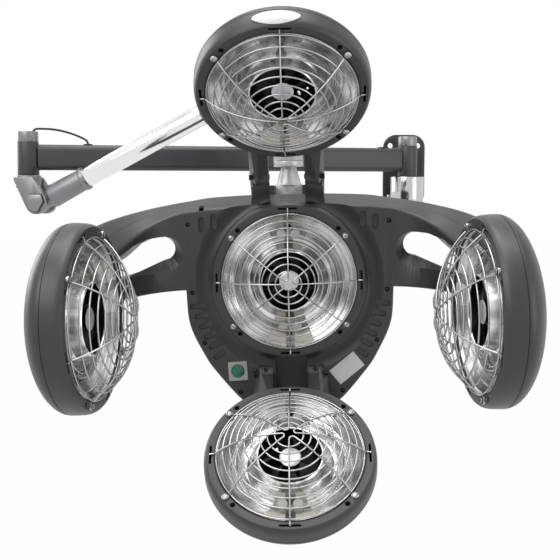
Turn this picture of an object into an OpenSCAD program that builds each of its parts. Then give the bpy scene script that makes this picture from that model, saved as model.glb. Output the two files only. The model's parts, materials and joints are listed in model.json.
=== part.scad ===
// Five-head warm-air and infrared hair dryer on a jointed wall arm.
// Origin: centre of the back face of the wall plate. +X right, -Y out from the wall, +Z up.

/* [Head] */
// Outer diameter of each head at its parting line
head_d = 195; // [192:1:200]
// Diameter of the flat front of the bezel
front_d = 189; // [183:1:190]
// Diameter of the opening in the bezel
opening_d = 166; // [162:1:168]
// Diameter of the circle that the guard screws and the bezel screws sit on
screw_circle_d = 177; // [176:0.5:179]
// Depth of the bezel from its front to the parting line
bezel_depth = 21; // [20:1:24]
// Depth of the rear dome behind the parting line
dome_depth = 37; // [36:1:42]
// Wall of the plastic mouldings
wall = 2.6; // [2:0.1:3.2]

/* [Guard] */
// Height of the wire dome over the front of the bezel
guard_height = 37; // [30:1:44]
// Radius of the guard wire
wire_r = 0.9; // [0.7:0.1:1.1]
// Radius of the bent ring that joins two wires near the middle
hairpin_r = 8; // [6.5:0.5:9]

/* [Reflector and lamp] */
// Radius of the fan duct in the middle of the reflector
duct_r = 34.6; // [33:0.2:36]
// Thickness of the spun reflector sheet
sheet = 1; // [0.8:0.1:1.2]
// Depth of the reflector trough
trough_depth = 28; // [24:1:30]
// Radius of the ring that the lamp tube follows
lamp_ring_r = 58; // [56:0.5:60]
// Radius of the lamp tube
lamp_tube_r = 5; // [4:0.2:5.4]

/* [Fan and motor] */
// Running gap between the fan and its duct
fan_gap = 2; // [1.2:0.2:3]
// Radius of the fan's middle
fan_hub_r = 12.3; // [10:0.5:14]
// Number of fan blades
fan_blades = 7; // [5:1:9]
// Radius of the motor can
motor_r = 21; // [18:0.5:23]
// Radius of the motor shaft
shaft_r = 2; // [1.5:0.1:2.5]

/* [Hub] */
// Depth of the hub body from its front face to its rear face
hub_depth = 40; // [38:1:46]
// Half width of the shield under the wings
shield_half_w = 130; // [126:1:134]
// Drop of the lowest point of the shield under the centre of its head
shield_drop = 165; // [160:1:168]
// Distance sideways from the centre head to a side head's hinge
side_hinge_x = 215; // [210:1:220]
// Distance of a side head's hinge in front of the centre head
side_hinge_y = 100; // [97:1:103]
// Radius of the hinge barrels
barrel_r = 11; // [10:0.5:11.5]
// Radius of the hinge pins
pin_r = 3; // [2.5:0.1:3.5]

/* [Head placing] */
// Angle that the top head leans down
top_tilt = 47; // [43:1:51]
// Angle that the bottom head leans up
bottom_tilt = 49; // [45:1:52]
// Angle that each side head turns in from facing the front
side_yaw = 83; // [78:0.5:87]
// Distance from the centre of the top head to its hinge
top_neck = 150.5; // [147:0.5:154]
// Distance from the centre of the bottom head to its hinge
bottom_neck = 142.5; // [140:0.5:146]
// Distance from the centre of a side head to its hinge
side_neck = 113.5; // [112:0.5:117]

/* [Wall arm] */
// Width of the wall plate
plate_w = 66; // [62:1:72]
// Height of the wall plate
plate_h = 114; // [108:1:124]
// Spacing of the wall bolts across
bolt_x = 44; // [42:1:46]
// Spacing of the wall bolts upward
bolt_z = 80; // [74:1:84]
// Radius of the wall bolt holes
bolt_hole_r = 4.25; // [3.25:0.25:4.5]
// Distance of the arm's wall pivot from the wall
wall_pivot_y = 50; // [46:1:56]
// Length of the inner arm between its pivots
inner_len = 571; // [520:1:620]
// Height of the inner arm's section
inner_h = 36; // [32:1:38]
// Thickness of the inner arm's section
inner_t = 22; // [20:1:24]
// Length of the outer arm between its pivots
outer_len = 394; // [390:1:430]
// Radius of the outer arm's tube
tube_r = 14; // [12.5:0.5:14.5]
// Drop from the top of the hanger to the centre head
hanger_drop = 273; // [270:1:282]

/* [Switch] */
// Width of the square switch surround
switch_w = 24; // [20:1:26]
// Radius of the push button
button_r = 8; // [6.5:0.5:9]
// Distance that the button travels
button_travel = 2.5; // [1.5:0.5:3]

/* [Hidden] */
$fn = 64;

// Clearances
seat = 0.3;         // between parts that rest on each other
running = 0.05;     // between a shaft and its bore
leaf_gap = 0.6;     // between the two leaves of a hinge
eps = 0.01;

// Colours
charcoal = [0.25, 0.25, 0.26];
black = [0.06, 0.06, 0.06];
bright = [0.85, 0.86, 0.87];
arm_grey = [0.29, 0.29, 0.3];

// Places along the arm, each found from the one before it
inner_angle = 14.7;       // inner arm from the wall, in plan
outer_angle = -10.3;      // outer arm from the X axis, in plan
outer_rise = 27.05;       // outer arm above level
lift_reach = 18;          // elbow axis to the lift pivot
lift_z = -47.3;
hanger_back = 125;        // hanger axis behind the centre head
hanger_sag = 1.3;         // lean of the hanger at rest, about the end pin of the outer arm
hub_swing = -1.7;         // turn of the hub at rest, about the hanger
wall_axis = [0, -wall_pivot_y, 0];
elbow_axis = wall_axis - inner_len * [cos(inner_angle), sin(inner_angle), 0];
outer_reach = lift_reach + outer_len * cos(outer_rise);
arm_end = elbow_axis + outer_reach * [cos(outer_angle), sin(outer_angle), 0]
    + [0, 0, lift_z + outer_len * sin(outer_rise)];

// Head radii and places, measured in the head's own frame: z points out of its front
head_r = head_d / 2;
front_r = front_d / 2;
opening_r = opening_d / 2;
screw_r = screw_circle_d / 2;
dome_back = bezel_depth + dome_depth;
hinge_setback = 23.3;       // top hinge behind the front of its head
bottom_setback = 37.4;
side_setback = 37.6;
side_head_z = -14;        // side heads against the centre head
top_hinge = [0, 6, 128];
bottom_hinge = [0, 2, -115];
post_in = 22;             // neck posts, from the middle to each side
post_out = 46;
post_mid = (post_in + post_out) / 2;
post_half_t = 8.5;
side_spin = 70;           // turn of a side head's guard and screws about its own axis
side_leaf_low = 10;       // middle leaf of a side hinge, height in the hub's frame
side_leaf_high = 30.6;
front_y = bezel_depth;    // front face of the hub, behind the centre head's front
rear_y = front_y + hub_depth;

// Guard numbers
guard_rings = [0.19, 0.29, 0.39, 0.5, 0.6, 0.7, 0.8, 0.9, 1];
rim_r = opening_r - 0.5;
guard_base_z = wire_r + 0.4;
dome_r = (rim_r * rim_r + guard_height * guard_height) / (2 * guard_height);
spoke_r = dome_r + 2 * wire_r + running;
eyelet_angles = [38, 142, 218, 322];
cover_screw_angles = [46, 134, 226, 314];

// Sleeves and section of the inner arm, and the rubber grommets in its top
sleeve_r = 15;
sleeve_low = -9;
sleeve_high = 37;
cap_h = 15;
inner_z = 16;
arm_wall = 3;
grommet_r = 5;
grommet_flange_h = 1.5;
lead_out = 83;            // grommet of the lead, back from the elbow axis
grommet_places = [42, inner_len - lead_out];

// Lead between the elbow cap and the inner arm. Its route is [distance back from the elbow axis, height].
cable_r = 1.5;
cable_bend = 6.5;
cable_hole_r = 2.7;
cap_hole_x = 7;
cap_hole_depth = 3.7;
cap_top = sleeve_high + cap_h;
lead_start = [cap_hole_x, cap_top - cap_hole_depth];
lead_end = [lead_out, inner_z + inner_h / 2 + grommet_flange_h];
rise_centre = lead_start + [cable_bend, 1.2];
drop_centre = lead_end - [cable_bend + 0.5, 0];
lead_path = concat([lead_start],
    [for (a = [0 : 15 : 90]) rise_centre + cable_bend * [-cos(a), sin(a)]],
    [[21, cap_top + 4.15], [29, cap_top + 3.95], [37, cap_top + 3.2], [45, cap_top + 1.9], [53, cap_top],
        [61, cap_top - 2.4], [68, cap_top - 5], [74, cap_top - 7.6]],
    [for (a = [60 : -15 : 0]) drop_centre + (cable_bend + 0.5) * [cos(a), sin(a)]]);
cable_route = [for (p = lead_path) [inner_len - p[0], 0, p[1]]];

module at_inner() translate(wall_axis) rotate([0, 0, 180 + inner_angle]) children();
module at_elbow() translate(elbow_axis) rotate([0, 0, outer_angle]) children();
module at_outer() at_elbow() translate([lift_reach, 0, lift_z]) rotate([0, -outer_rise, 0]) children();
module at_hanger() translate(arm_end) rotate([0, 0, outer_angle]) rotate([0, -hanger_sag, 0]) children();
module at_hub() at_hanger() translate([0, 0, -hanger_drop]) rotate([0, 0, hub_swing - outer_angle])
    translate([0, -hanger_back, 0]) children();
module at_centre() at_hub() rotate([90, 0, 0]) children();
module at_top() at_hub() translate(top_hinge) rotate([90 + top_tilt, 0, 0])
    translate([0, top_neck, hinge_setback]) children();
module at_bottom() at_hub() translate(bottom_hinge) rotate([90 - bottom_tilt, 0, 0])
    translate([0, -bottom_neck, bottom_setback]) children();
module at_side(side) at_hub() translate([side * side_hinge_x, -side_hinge_y, side_head_z])
    rotate([0, 0, -side * side_yaw]) rotate([90, 0, 0])
    translate([side * side_neck, 0, side_setback]) children();
module at_side_turned(side) at_side(side) rotate(side * side_spin) children();

// Flat and simple forms
module round_rect(w, h, r) {
    square([w - 2 * r, h], center = true);
    square([w, h - 2 * r], center = true);
    for (x = [-1, 1], y = [-1, 1]) translate([x * (w / 2 - r), y * (h / 2 - r)]) circle(r);
}
module bar_x(x0, x1, r) translate([x0, 0, 0]) rotate([0, 90, 0]) cylinder(h = x1 - x0, r = r);
module ring(r_out, r_in, h) difference() {
    cylinder(h = h, r = r_out);
    translate([0, 0, -eps]) cylinder(h = h + 2 * eps, r = r_in);
}
module slot(length, r) {
    square([length - 2 * r, 2 * r], center = true);
    for (side = [-1, 1]) translate([side * (length / 2 - r), 0]) circle(r);
}

// A closed outline with the given wall behind a path of points
function along(path, i) = let(a = path[max(i - 1, 0)], b = path[min(i + 1, len(path) - 1)]) (b - a) / norm(b - a);
function behind(path, t) = [for (i = [0 : len(path) - 1]) path[i] + t * [-along(path, i)[1], along(path, i)[0]]];
function walled(path, t) = concat(path, [for (i = [len(path) - 1 : -1 : 0]) behind(path, t)[i]]);

// Head pieces, in the head's frame

module bezel() difference() {
    union() {
        bezel_ring();
        for (a = cover_screw_angles) rotate(a) translate([screw_r, 0, -bezel_depth])
            cylinder(h = bezel_depth - 1, r = boss_r);
        for (a = eyelet_angles) rotate(a) translate([screw_r, 0, -10]) cylinder(h = 9, r = guard_screw_r + 2);
    }
    for (a = cover_screw_angles) rotate(a) translate([screw_r, 0, -bezel_depth - 1])
        cylinder(h = bezel_depth + 2, r = screw_hole_r);
    for (a = eyelet_angles) rotate(a) translate([screw_r, 0, -11])
        cylinder(h = 12, r = guard_screw_r + running);
    for (a = [0 : 90 : 270]) rotate(a) translate([hook_r - hook_slot_w / 2, -hook_slot_l / 2, -wall - 1])
        cube([hook_slot_w, hook_slot_l, wall + 2]);
}
module bezel_ring() rotate_extrude($fn = 128) polygon([[head_r, -bezel_depth], [head_r - 0.6, -8], [head_r - 1.6, -3.6],
        [front_r + 1.2, -0.9], [front_r - 1, 0], [opening_r + 2, 0], [opening_r + 0.5, -0.6], [opening_r, -2],
        [opening_r, -6], [opening_r + wall - 0.8, -6], [opening_r + wall, -wall], [front_r - 1, -wall],
        [head_r - wall - 1.2, -5], [head_r - wall, -9], [head_r - wall, -bezel_depth]]);
screw_hole_r = 2.3;
boss_r = 4.2;
guard_screw_r = 1.5;
hook_r = 89;
hook_slot_w = 2.6;
hook_slot_l = 24;

// Spun sheet: outer lip, stepped trough, inner lip and fan duct
duct_depth = 34;
trough = [[opening_r - seat - sheet, -2.2], [opening_r - seat - sheet - 0.6, -7],
    [opening_r - 5, -8.5], [opening_r - 8.5, -15],
    [opening_r - 13, -16.5], [opening_r - 17, -22], [opening_r - 22, -trough_depth + 2.5],
    [lamp_ring_r - 2, -trough_depth], [duct_r + 14, -trough_depth + 3], [duct_r + 8.5, -trough_depth + 9],
    [duct_r + 5.2, -12], [duct_r + 3.6, -4], [duct_r + 2, -1.4], [duct_r + 0.6, -2], [duct_r, -4],
    [duct_r, -duct_depth]];
lamp_end_r = 6.5;
lamp_end_angle = 8.5;
lamp_z = -trough_depth / 2 - 1;
lamp_end_angles = [90 - lamp_end_angle, 90 + lamp_end_angle, 270 - lamp_end_angle, 270 + lamp_end_angle];
module reflector() difference() {
    rotate_extrude($fn = 128) polygon(walled(trough, sheet));
    for (a = lamp_end_angles) rotate(a) translate([lamp_ring_r, 0, -trough_depth - 8])
        cylinder(h = trough_depth, r = lamp_end_r + seat);
}

// Two half-ring tubes, each with a ceramic end that passes through the trough
module lamp() {
    cap_span = 2 * asin((lamp_end_r + seat) / 2 / lamp_ring_r);
    for (side = [0, 180]) rotate(side - 90 + lamp_end_angle + cap_span)
        translate([0, 0, lamp_z]) rotate_extrude(angle = 180 - 2 * lamp_end_angle - 2 * cap_span)
            translate([lamp_ring_r, 0]) circle(lamp_tube_r, $fn = 32);
    for (a = lamp_end_angles) rotate(a) translate([lamp_ring_r, 0, lamp_z - 22])
        cylinder(h = 22 + lamp_tube_r + 2, r = lamp_end_r);
}

// Seven-blade rotor on the motor shaft
fan_back = -20;
fan_front = -7;
module fan() difference() {
    union() {
        translate([0, 0, fan_back]) cylinder(h = fan_front - fan_back, r = fan_hub_r);
        intersection() {
            for (i = [0 : fan_blades - 1]) rotate(i * 360 / fan_blades)
                translate([fan_hub_r - 2, 0, (fan_back + fan_front) / 2]) rotate([32, 0, 0])
                    translate([0, -blade_chord / 2, -blade_t / 2]) cube([duct_r, blade_chord, blade_t]);
            translate([0, 0, fan_back]) cylinder(h = fan_front - fan_back, r = duct_r - fan_gap);
        }
    }
    translate([0, 0, fan_back - 1]) cylinder(h = 10, r = shaft_r + running);
}
blade_chord = 17;
blade_t = 1.6;

// Can, shaft and a three-armed mount that grips the duct
motor_front = -26;
module motor() {
    motor_len = dome_back - wall - 3 + motor_front;
    translate([0, 0, motor_front - motor_len]) cylinder(h = motor_len, r = motor_r);
    translate([0, 0, motor_front - eps]) cylinder(h = fan_back + 8 - motor_front, r = shaft_r);
    for (a = [30, 150, 270]) rotate(a) translate([motor_r - 4, -5, motor_front - 4])
        cube([sqrt(pow(duct_r - 0.1, 2) - 25) - motor_r + 4, 10, 4]);
}

// Wire dome: rings, four bent wires and the screw eyelets
module wire_arc(ring_r, from, to) rotate([90, 0, 0]) rotate([0, 0, 90 - to])
    rotate_extrude(angle = to - from) translate([ring_r, 0]) circle(wire_r, $fn = 16);
module hairpin(a_hook, a_eye) {
    spread = abs(a_eye - a_hook) / 2;
    start = asin(hairpin_r / spoke_r);
    half_spread = asin(sin(spread) * cos(start));
    slant = hairpin_r / cos(start);
    bend_r = slant * tan(half_spread);
    turn = 180 - 2 * half_spread;
    lean = atan(tan(start) / cos(spread));
    foot = asin((rim_r + 1) / spoke_r);
    for (a = [a_hook, a_eye]) rotate(a) translate([0, 0, guard_base_z + guard_height - dome_r])
        wire_arc(spoke_r, start + 0.05, foot);
    rotate((a_hook + a_eye) / 2) translate([0, 0, guard_base_z + guard_height - dome_r + spoke_r / cos(start)])
        rotate([0, lean, 0]) translate([slant / cos(half_spread), 0, 0]) rotate(180 - turn / 2)
            rotate_extrude(angle = turn) translate([bend_r, 0]) circle(wire_r, $fn = 16);
    rotate(a_hook) translate([rim_r + 2.6, 0, guard_base_z + 0.4]) {
        bar_x(0, hook_r - rim_r - 2.6, wire_r);
        translate([hook_r - rim_r - 2.6, 0, -7]) cylinder(h = 7, r = wire_r);
    }
}
eyelet_r = 4;
module guard() {
    for (k = guard_rings) {
        polar = asin(k * rim_r / dome_r);
        translate([0, 0, guard_base_z + guard_height - dome_r + dome_r * cos(polar)])
            rotate_extrude($fn = 96) translate([k * rim_r, 0]) circle(wire_r, $fn = 16);
    }
    hairpin(90, eyelet_angles[1]);
    hairpin(180, eyelet_angles[2]);
    hairpin(270, eyelet_angles[3]);
    hairpin(360, 360 + eyelet_angles[0]);
    for (a = eyelet_angles) rotate(a) translate([screw_r, 0, 0.1]) ring(eyelet_r, guard_screw_r + 0.1, 1.6);
}

// Pan-headed guard screws and sunk bezel screws
module head_screws() {
    for (a = eyelet_angles) rotate(a) translate([screw_r, 0, 0]) {
        translate([0, 0, -9]) cylinder(h = 11, r = guard_screw_r);
        translate([0, 0, 1.75]) cylinder(h = 1.8, r = eyelet_r - 0.3);
    }
    for (a = cover_screw_angles) rotate(a) translate([screw_r, 0, -bezel_depth - 6])
        cylinder(h = 18, r = screw_hole_r - 0.1);
}

// Rear dome of a hinged head, half an ellipse in section
dome_steps = 12;
dome_boss_h = 10;
dome_screw_h = 8;
intake_r = 52;
intake_l = 20;
intake_half_w = 1.6;
function dome_arc(r, depth) = [for (i = [0 : dome_steps]) let(a = 90 * i / dome_steps)
    [r * cos(a), -bezel_depth - seat - (depth - seat) * sin(a)]];
dome_path = dome_arc(head_r - wall, dome_depth - wall);
dome_outside = dome_arc(head_r, dome_depth);
module dome_solid() rotate_extrude($fn = 128) polygon(concat([[0, -bezel_depth - seat]], dome_path));
module dome() difference() {
    union() {
        dome_skin();
        for (a = cover_screw_angles) rotate(a) translate([screw_r, 0, -bezel_depth - dome_boss_h])
            cylinder(h = dome_boss_h - seat, r = boss_r);
    }
    for (a = cover_screw_angles) rotate(a) translate([screw_r, 0, -bezel_depth - dome_screw_h])
        cylinder(h = dome_screw_h + 2, r = screw_hole_r);
    for (a = [0 : 15 : 345]) rotate(a + 7.5) translate([intake_r, 0, -dome_back])
        linear_extrude(height = 2 * dome_depth, center = true) slot(intake_l, intake_half_w);
}
module dome_skin() rotate_extrude($fn = 128)
    polygon(concat(dome_path, [for (i = [dome_steps : -1 : 0]) dome_outside[i]]));

// Neck of two posts with outer hinge leaves; the hinge lies at [0, -reach, -setback]
module along_x(x0, x1) translate([x0, 0, 0]) rotate([90, 0, 90]) linear_extrude(height = x1 - x0) children();
module post_outline(hinge, foot) {
    run = foot - hinge;
    translate(hinge) {
        circle(barrel_r);
        rotate(atan2(run[1], run[0])) translate([0, -post_half_t]) square([norm(run), 2 * post_half_t]);
    }
}
post_foot = [-head_r + 26, -bezel_depth - 17];
web_edge = head_r + 15;
web_half_t = 6;
module web_outline(hinge) {
    run = post_foot - hinge;
    start = hinge + (-web_edge - hinge[0]) / run[0] * run;
    translate(start) rotate(atan2(run[1], run[0])) translate([0, -web_half_t])
        square([norm(post_foot - start), 2 * web_half_t]);
}
module head_room() translate([0, 0, -bezel_depth - seat]) cylinder(h = dome_depth, r = head_r + seat);
module neck(reach, setback) difference() {
    union() {
        for (side = [0, 1]) mirror([side, 0, 0]) difference() {
            along_x(post_in, post_out) post_outline([-reach, -setback], post_foot);
            translate([0, -reach, -setback]) {
                bar_x(post_in - 1, post_mid + leaf_gap / 2, barrel_r + leaf_gap);
                bar_x(post_in - 1, post_out + 1, pin_r + running);
            }
        }
        along_x(-post_in - 1, post_in + 1) web_outline([-reach, -setback]);
    }
    dome_solid();
    head_room();
}
module neck_pins(reach, setback) for (side = [0, 1]) mirror([side, 0, 0])
    translate([0, -reach, -setback]) {
        bar_x(post_in - 1, post_out + 1.5, pin_r);
        bar_x(post_out + 0.3, post_out + 2.3, pin_r + 2);
    }

// Single leaf of a side head, between the two leaves of the wing
leaf_low = side_leaf_low - side_head_z;
leaf_high = side_leaf_high - side_head_z;
leaf_foot = [head_r - 20, bezel_depth + 20];
module side_leaf(side) difference() {
    translate([0, leaf_low, 0]) rotate([-90, 0, 0]) linear_extrude(height = leaf_high - leaf_low)
        difference() {
            union() {
                translate([-side * side_neck, side_setback]) circle(barrel_r);
                run = [-side * leaf_foot[0], leaf_foot[1]] - [-side * side_neck, side_setback];
                translate([-side * side_neck, side_setback]) rotate(atan2(run[1], run[0]))
                    translate([0, -post_half_t]) square([norm(run), 2 * post_half_t]);
            }
            translate([-side * side_neck, side_setback]) circle(pin_r + running);
        }
    dome_solid();
    head_room();
}
side_pin_low = -14;
side_pin_high = 60;
module side_pin(side) translate([-side * side_neck, side_pin_low - side_head_z, -side_setback])
    rotate([-90, 0, 0]) cylinder(h = side_pin_high - side_pin_low, r = pin_r);

// Hub body: a shield with two wings that curve forward, cut into a front and a rear cover.
// Each station holds a front point, a rear point, and the heights of its lower and upper edges.
shield_stations = [[0, -shield_drop, 92, 108], [0.31, -shield_drop + 2, 92, 108],
    [0.48, -shield_drop + 13, 91.5, 107.5], [0.715, -shield_drop + 48, 90.5, 106],
    [0.83, -shield_drop + 70, 89.5, 104.5], [0.97, -shield_drop + 110, 87.5, 101.5],
    [1, -11, 87, 101]];
wing_steps = 7;
wing_front = [[shield_half_w, front_y], [190, front_y - 2], [side_hinge_x - 11.5, -side_hinge_y]];
wing_rear = [[shield_half_w, rear_y], [224, rear_y - 6], [side_hinge_x + 11.5, -side_hinge_y]];
function curve(p, t) = (1 - t) * (1 - t) * p[0] + 2 * t * (1 - t) * p[1] + t * t * p[2];
function mix(a, b, t) = a + (b - a) * t;
function shield_half(depth0, depth1) = [for (s = shield_stations)
    [[s[0] * shield_half_w, mix(front_y, rear_y, depth0)], [s[0] * shield_half_w, mix(front_y, rear_y, depth1)],
        s[1], mix(s[2], s[3], depth0), mix(s[2], s[3], depth1)]];
function wing_half(depth0, depth1) = [for (i = [1 : wing_steps]) let(t = i / wing_steps)
    [mix(curve(wing_front, t), curve(wing_rear, t), depth0), mix(curve(wing_front, t), curve(wing_rear, t), depth1),
        mix(-11, -16, t), mix(mix(87, 64, t), mix(101, 74, t), depth0),
        mix(mix(87, 64, t), mix(101, 74, t), depth1)]];
function flip(stations) = [for (i = [len(stations) - 1 : -1 : 1]) let(s = stations[i])
    [[-s[0][0], s[0][1]], [-s[1][0], s[1][1]], s[2], s[3], s[4]]];
module loft(stations) {
    points = [for (s = stations) each [[s[0][0], s[0][1], s[2]], [s[0][0], s[0][1], s[3]],
        [s[1][0], s[1][1], s[4]], [s[1][0], s[1][1], s[2]]]];
    last = len(stations) - 1;
    sides = [for (i = [0 : last - 1], k = [0 : 3]) let(a = 4 * i + k, b = 4 * i + (k + 1) % 4)
        each [[a, b, b + 4], [a, b + 4, a + 4]]];
    polyhedron(points, concat(sides, [[3, 2, 1], [3, 1, 0]], [[4 * last, 4 * last + 1, 4 * last + 2],
        [4 * last, 4 * last + 2, 4 * last + 3]]));
}
module hub_solid(depth0, depth1) {
    half = concat(shield_half(depth0, depth1), wing_half(depth0, depth1));
    loft(concat(flip(half), half));
}
shrink = (shield_half_w - wall) / shield_half_w;
module hub_cavity(depth0, depth1) {
    half = [for (s = shield_half(depth0, depth1)) [[s[0][0] * shrink, s[0][1]], [s[1][0] * shrink, s[1][1]],
        s[2] + wall, s[3] - wall, s[4] - wall]];
    loft(concat(flip(half), half));
}

// The grip hole through each wing, and the screw places of the hub
grip_near = [158, 33];
grip_near_r = 17;
grip_far_x = side_hinge_x + 25;
grip_edge = 0.4;          // between the hole and the leaves of the hinge
grip_cut = 2 * (rear_y + side_hinge_y);
module grip_holes() for (side = [-1, 1]) translate([0, -grip_cut / 2, 0]) rotate([-90, 0, 0])
    linear_extrude(height = grip_cut) {
        translate([side * grip_near[0], -grip_near[1]]) circle(grip_near_r);
        polygon([[side * (grip_near[0] + 4), -grip_near[1] - grip_near_r + 0.5],
            [side * (grip_near[0] - 4), -grip_near[1] + grip_near_r - 0.5],
            [side * grip_far_x, -side_leaf_low + grip_edge], [side * grip_far_x, -side_leaf_high - grip_edge]]);
    }
hub_screw_places = [[125, 71.5], [122, -14], [108, -77.5], [64, -141]];
vent_count = 6;
vent_low = [90, -93];
vent_high = [117, -31];
module front_cutter(at, h) translate([at[0], front_y - 1, at[1]]) rotate([-90, 0, 0])
    linear_extrude(height = h) children();

module side_hinge_cut(gap) for (side = [-1, 1])
    translate([side * side_hinge_x, -side_hinge_y, side_leaf_low - grip_edge])
        cylinder(h = side_leaf_high - side_leaf_low + 2 * grip_edge, r = barrel_r + gap);

module hub_front_cover() color(charcoal) at_hub() {
    difference() {
        union() {
            hub_solid(0, 0.5 - eps);
            for (side = [0, 1]) mirror([side, 0, 0]) {
                along_x(post_in, post_out) {
                    post_outline([top_hinge[1], top_hinge[2]], top_foot);
                    post_outline([bottom_hinge[1], bottom_hinge[2]], [front_y + 6, bottom_hinge[2]]);
                }
                translate([side_hinge_x, -side_hinge_y, -16]) cylinder(h = 80, r = barrel_r);
            }
        }
        difference() {
            hub_cavity(wall / hub_depth, 0.5 + eps);
            for (place = hub_screw_places, side = [-1, 1]) translate([side * place[0], 0, place[1]])
                rotate([-90, 0, 0]) cylinder(h = rear_y, r = hub_boss_r);
        }
        rotate([90, 0, 0]) {
            translate([0, 0, -rear_y]) cylinder(h = hub_depth + 1, r = opening_r + sheet + 1);
            for (a = cover_screw_angles) rotate(a) translate([screw_r, 0, -front_y - wall - 1])
                cylinder(h = wall + 2, r = screw_hole_r);
        }
        for (side = [0, 1]) mirror([side, 0, 0]) for (hinge = [top_hinge, bottom_hinge])
            translate([0, hinge[1], hinge[2]]) {
                bar_x(post_mid - leaf_gap / 2, post_out + 1, barrel_r + leaf_gap);
                bar_x(post_in - 1, post_out + 1, pin_r + running);
            }
        side_hinge_cut(leaf_gap);
        for (side = [-1, 1]) translate([side * side_hinge_x, -side_hinge_y, -20])
            cylinder(h = 100, r = pin_r + running);
        grip_holes();
        for (place = hub_screw_places, side = [-1, 1])
            front_cutter([side * place[0], place[1]], hub_depth) circle(hub_screw_r + 0.1);
        for (side = [-1, 1]) {
            front_cutter([side * 108, 71], 6) rotate(90) slot(20, 3.4);
            front_cutter([side * 93, 74.5], 6) rotate(90) slot(20, 3.4);
            for (i = [0 : vent_count - 1]) let(t = i / (vent_count - 1))
                front_cutter([side * mix(vent_low[0], vent_high[0], t), mix(vent_low[1], vent_high[1], t)], 6)
                    rotate(side * mix(-35, -5, t)) slot(12, 2.4);
        }
        front_cutter(switch_at, 10) rotate(switch_turn) square(switch_w - 4, center = true);
    }
}
top_foot = [front_y + 16, 97];
hub_boss_r = 5;
hub_screw_r = 2;
switch_at = [-67, -114];
switch_turn = 3;

module hub_rear_cover() color(charcoal) at_hub() difference() {
    hub_solid(0.5, 1);
    difference() {
        hub_cavity(0.5 - eps, 1 - wall / hub_depth);
        for (place = hub_screw_places, side = [-1, 1]) translate([side * place[0], 0, place[1]])
            rotate([-90, 0, 0]) cylinder(h = rear_y, r = hub_boss_r);
    }
    for (place = hub_screw_places, side = [-1, 1])
        front_cutter([side * place[0], place[1]], hub_depth - wall) circle(hub_screw_r - 0.3);
    grip_holes();
    side_hinge_cut(leaf_gap + 1.5);
    for (side = [-1, 1]) translate([side * side_hinge_x, -side_hinge_y, -20])
        cylinder(h = 100, r = barrel_r + seat);
    for (a = [0 : 15 : 345]) rotate([0, a + 7.5, 0]) translate([intake_r, rear_y, 0]) rotate([90, 0, 0])
        linear_extrude(height = 2 * wall + 2, center = true) slot(20, 1.6);
}

module hub_screws() color(black) {
    at_hub() for (place = hub_screw_places, side = [-1, 1]) translate([side * place[0], 0, place[1]])
        rotate([-90, 0, 0]) translate([0, 0, front_y + 1.5]) cylinder(h = 16, r = hub_screw_r);
    at_centre() head_screws();
}

// Push switch in the lower left of the hub
module switch_bezel() color([0.65, 0.63, 0.61]) at_hub() translate([switch_at[0], front_y, switch_at[1]])
    rotate([90, 0, 0]) rotate(switch_turn) difference() {
        union() {
            linear_extrude(height = 2.5) round_rect(switch_w, switch_w, 1.5);
            translate([0, 0, -12]) cylinder(h = 12.5, r = switch_w / 2 - 2.4);
        }
        translate([0, 0, -9]) cylinder(h = 20, r = button_r + seat);
        translate([0, 0, -13]) cylinder(h = 20, r = stem_r + running);
    }
stem_r = 3;
module power_button() color([0.12, 0.45, 0.32]) at_hub() translate([switch_at[0], front_y, switch_at[1]])
    rotate([90, 0, 0]) {
        translate([0, 0, -9 + seat + button_travel]) cylinder(h = 12 - button_travel, r = button_r);
        translate([0, 0, -15]) cylinder(h = 10, r = stem_r);
    }

// Board behind the lower edge of the hub, on four spacers
board_size = [96, 1.6, 44];
board_gap = 9;
board_z = -115;
board_y = rear_y - wall - board_gap;
spacer_places = [[-42, -16], [42, -16], [-42, 16], [42, 16]];
spacer_r = 3;
relay_size = [24, 12, 18];
filter_size = [16, 9, 22];
capacitor_r = 6;
capacitor_h = 11;
module control_board() color([0.1, 0.35, 0.2]) at_hub() translate([0, board_y, board_z]) {
    translate([-board_size[0] / 2, 0, -board_size[2] / 2]) cube(board_size);
    for (place = spacer_places) translate([place[0], board_size[1] - eps, place[1]]) rotate([-90, 0, 0])
        cylinder(h = board_gap - board_size[1] + eps, r = spacer_r);
    translate([-30, -relay_size[1], -14]) cube(relay_size + [0, eps, 0]);
    translate([8, -filter_size[1], -16]) cube(filter_size + [0, eps, 0]);
    translate([34, eps, 0]) rotate([90, 0, 0]) cylinder(h = capacitor_h, r = capacitor_r);
}

// Cheeks that hang the hub from the foot of the hanger
tilt_pivot = [0, hanger_back, 105];
cheek_in = 18;
cheek_out = 24;
cheek_r = 18;
cheek_drop = 5;           // eye of a cheek under the tilt pin
tilt_pin_r = 5;
back_plate = [68, 6, 56];
back_plate_z = 50;
module tilt_bracket() color(black) at_hub() {
    for (side = [0, 1]) mirror([side, 0, 0]) {
        translate([cheek_in, rear_y, tilt_pivot[2] - cheek_drop - cheek_r])
            cube([cheek_out - cheek_in, hanger_back - rear_y, 2 * cheek_r]);
        translate([0, tilt_pivot[1], tilt_pivot[2] - cheek_drop]) bar_x(cheek_in, cheek_out, cheek_r);
    }
    translate([-back_plate[0] / 2, rear_y, back_plate_z]) cube(back_plate);
    translate([0, tilt_pivot[1], tilt_pivot[2]]) bar_x(-cheek_out, cheek_out, tilt_pin_r);
}

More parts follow.
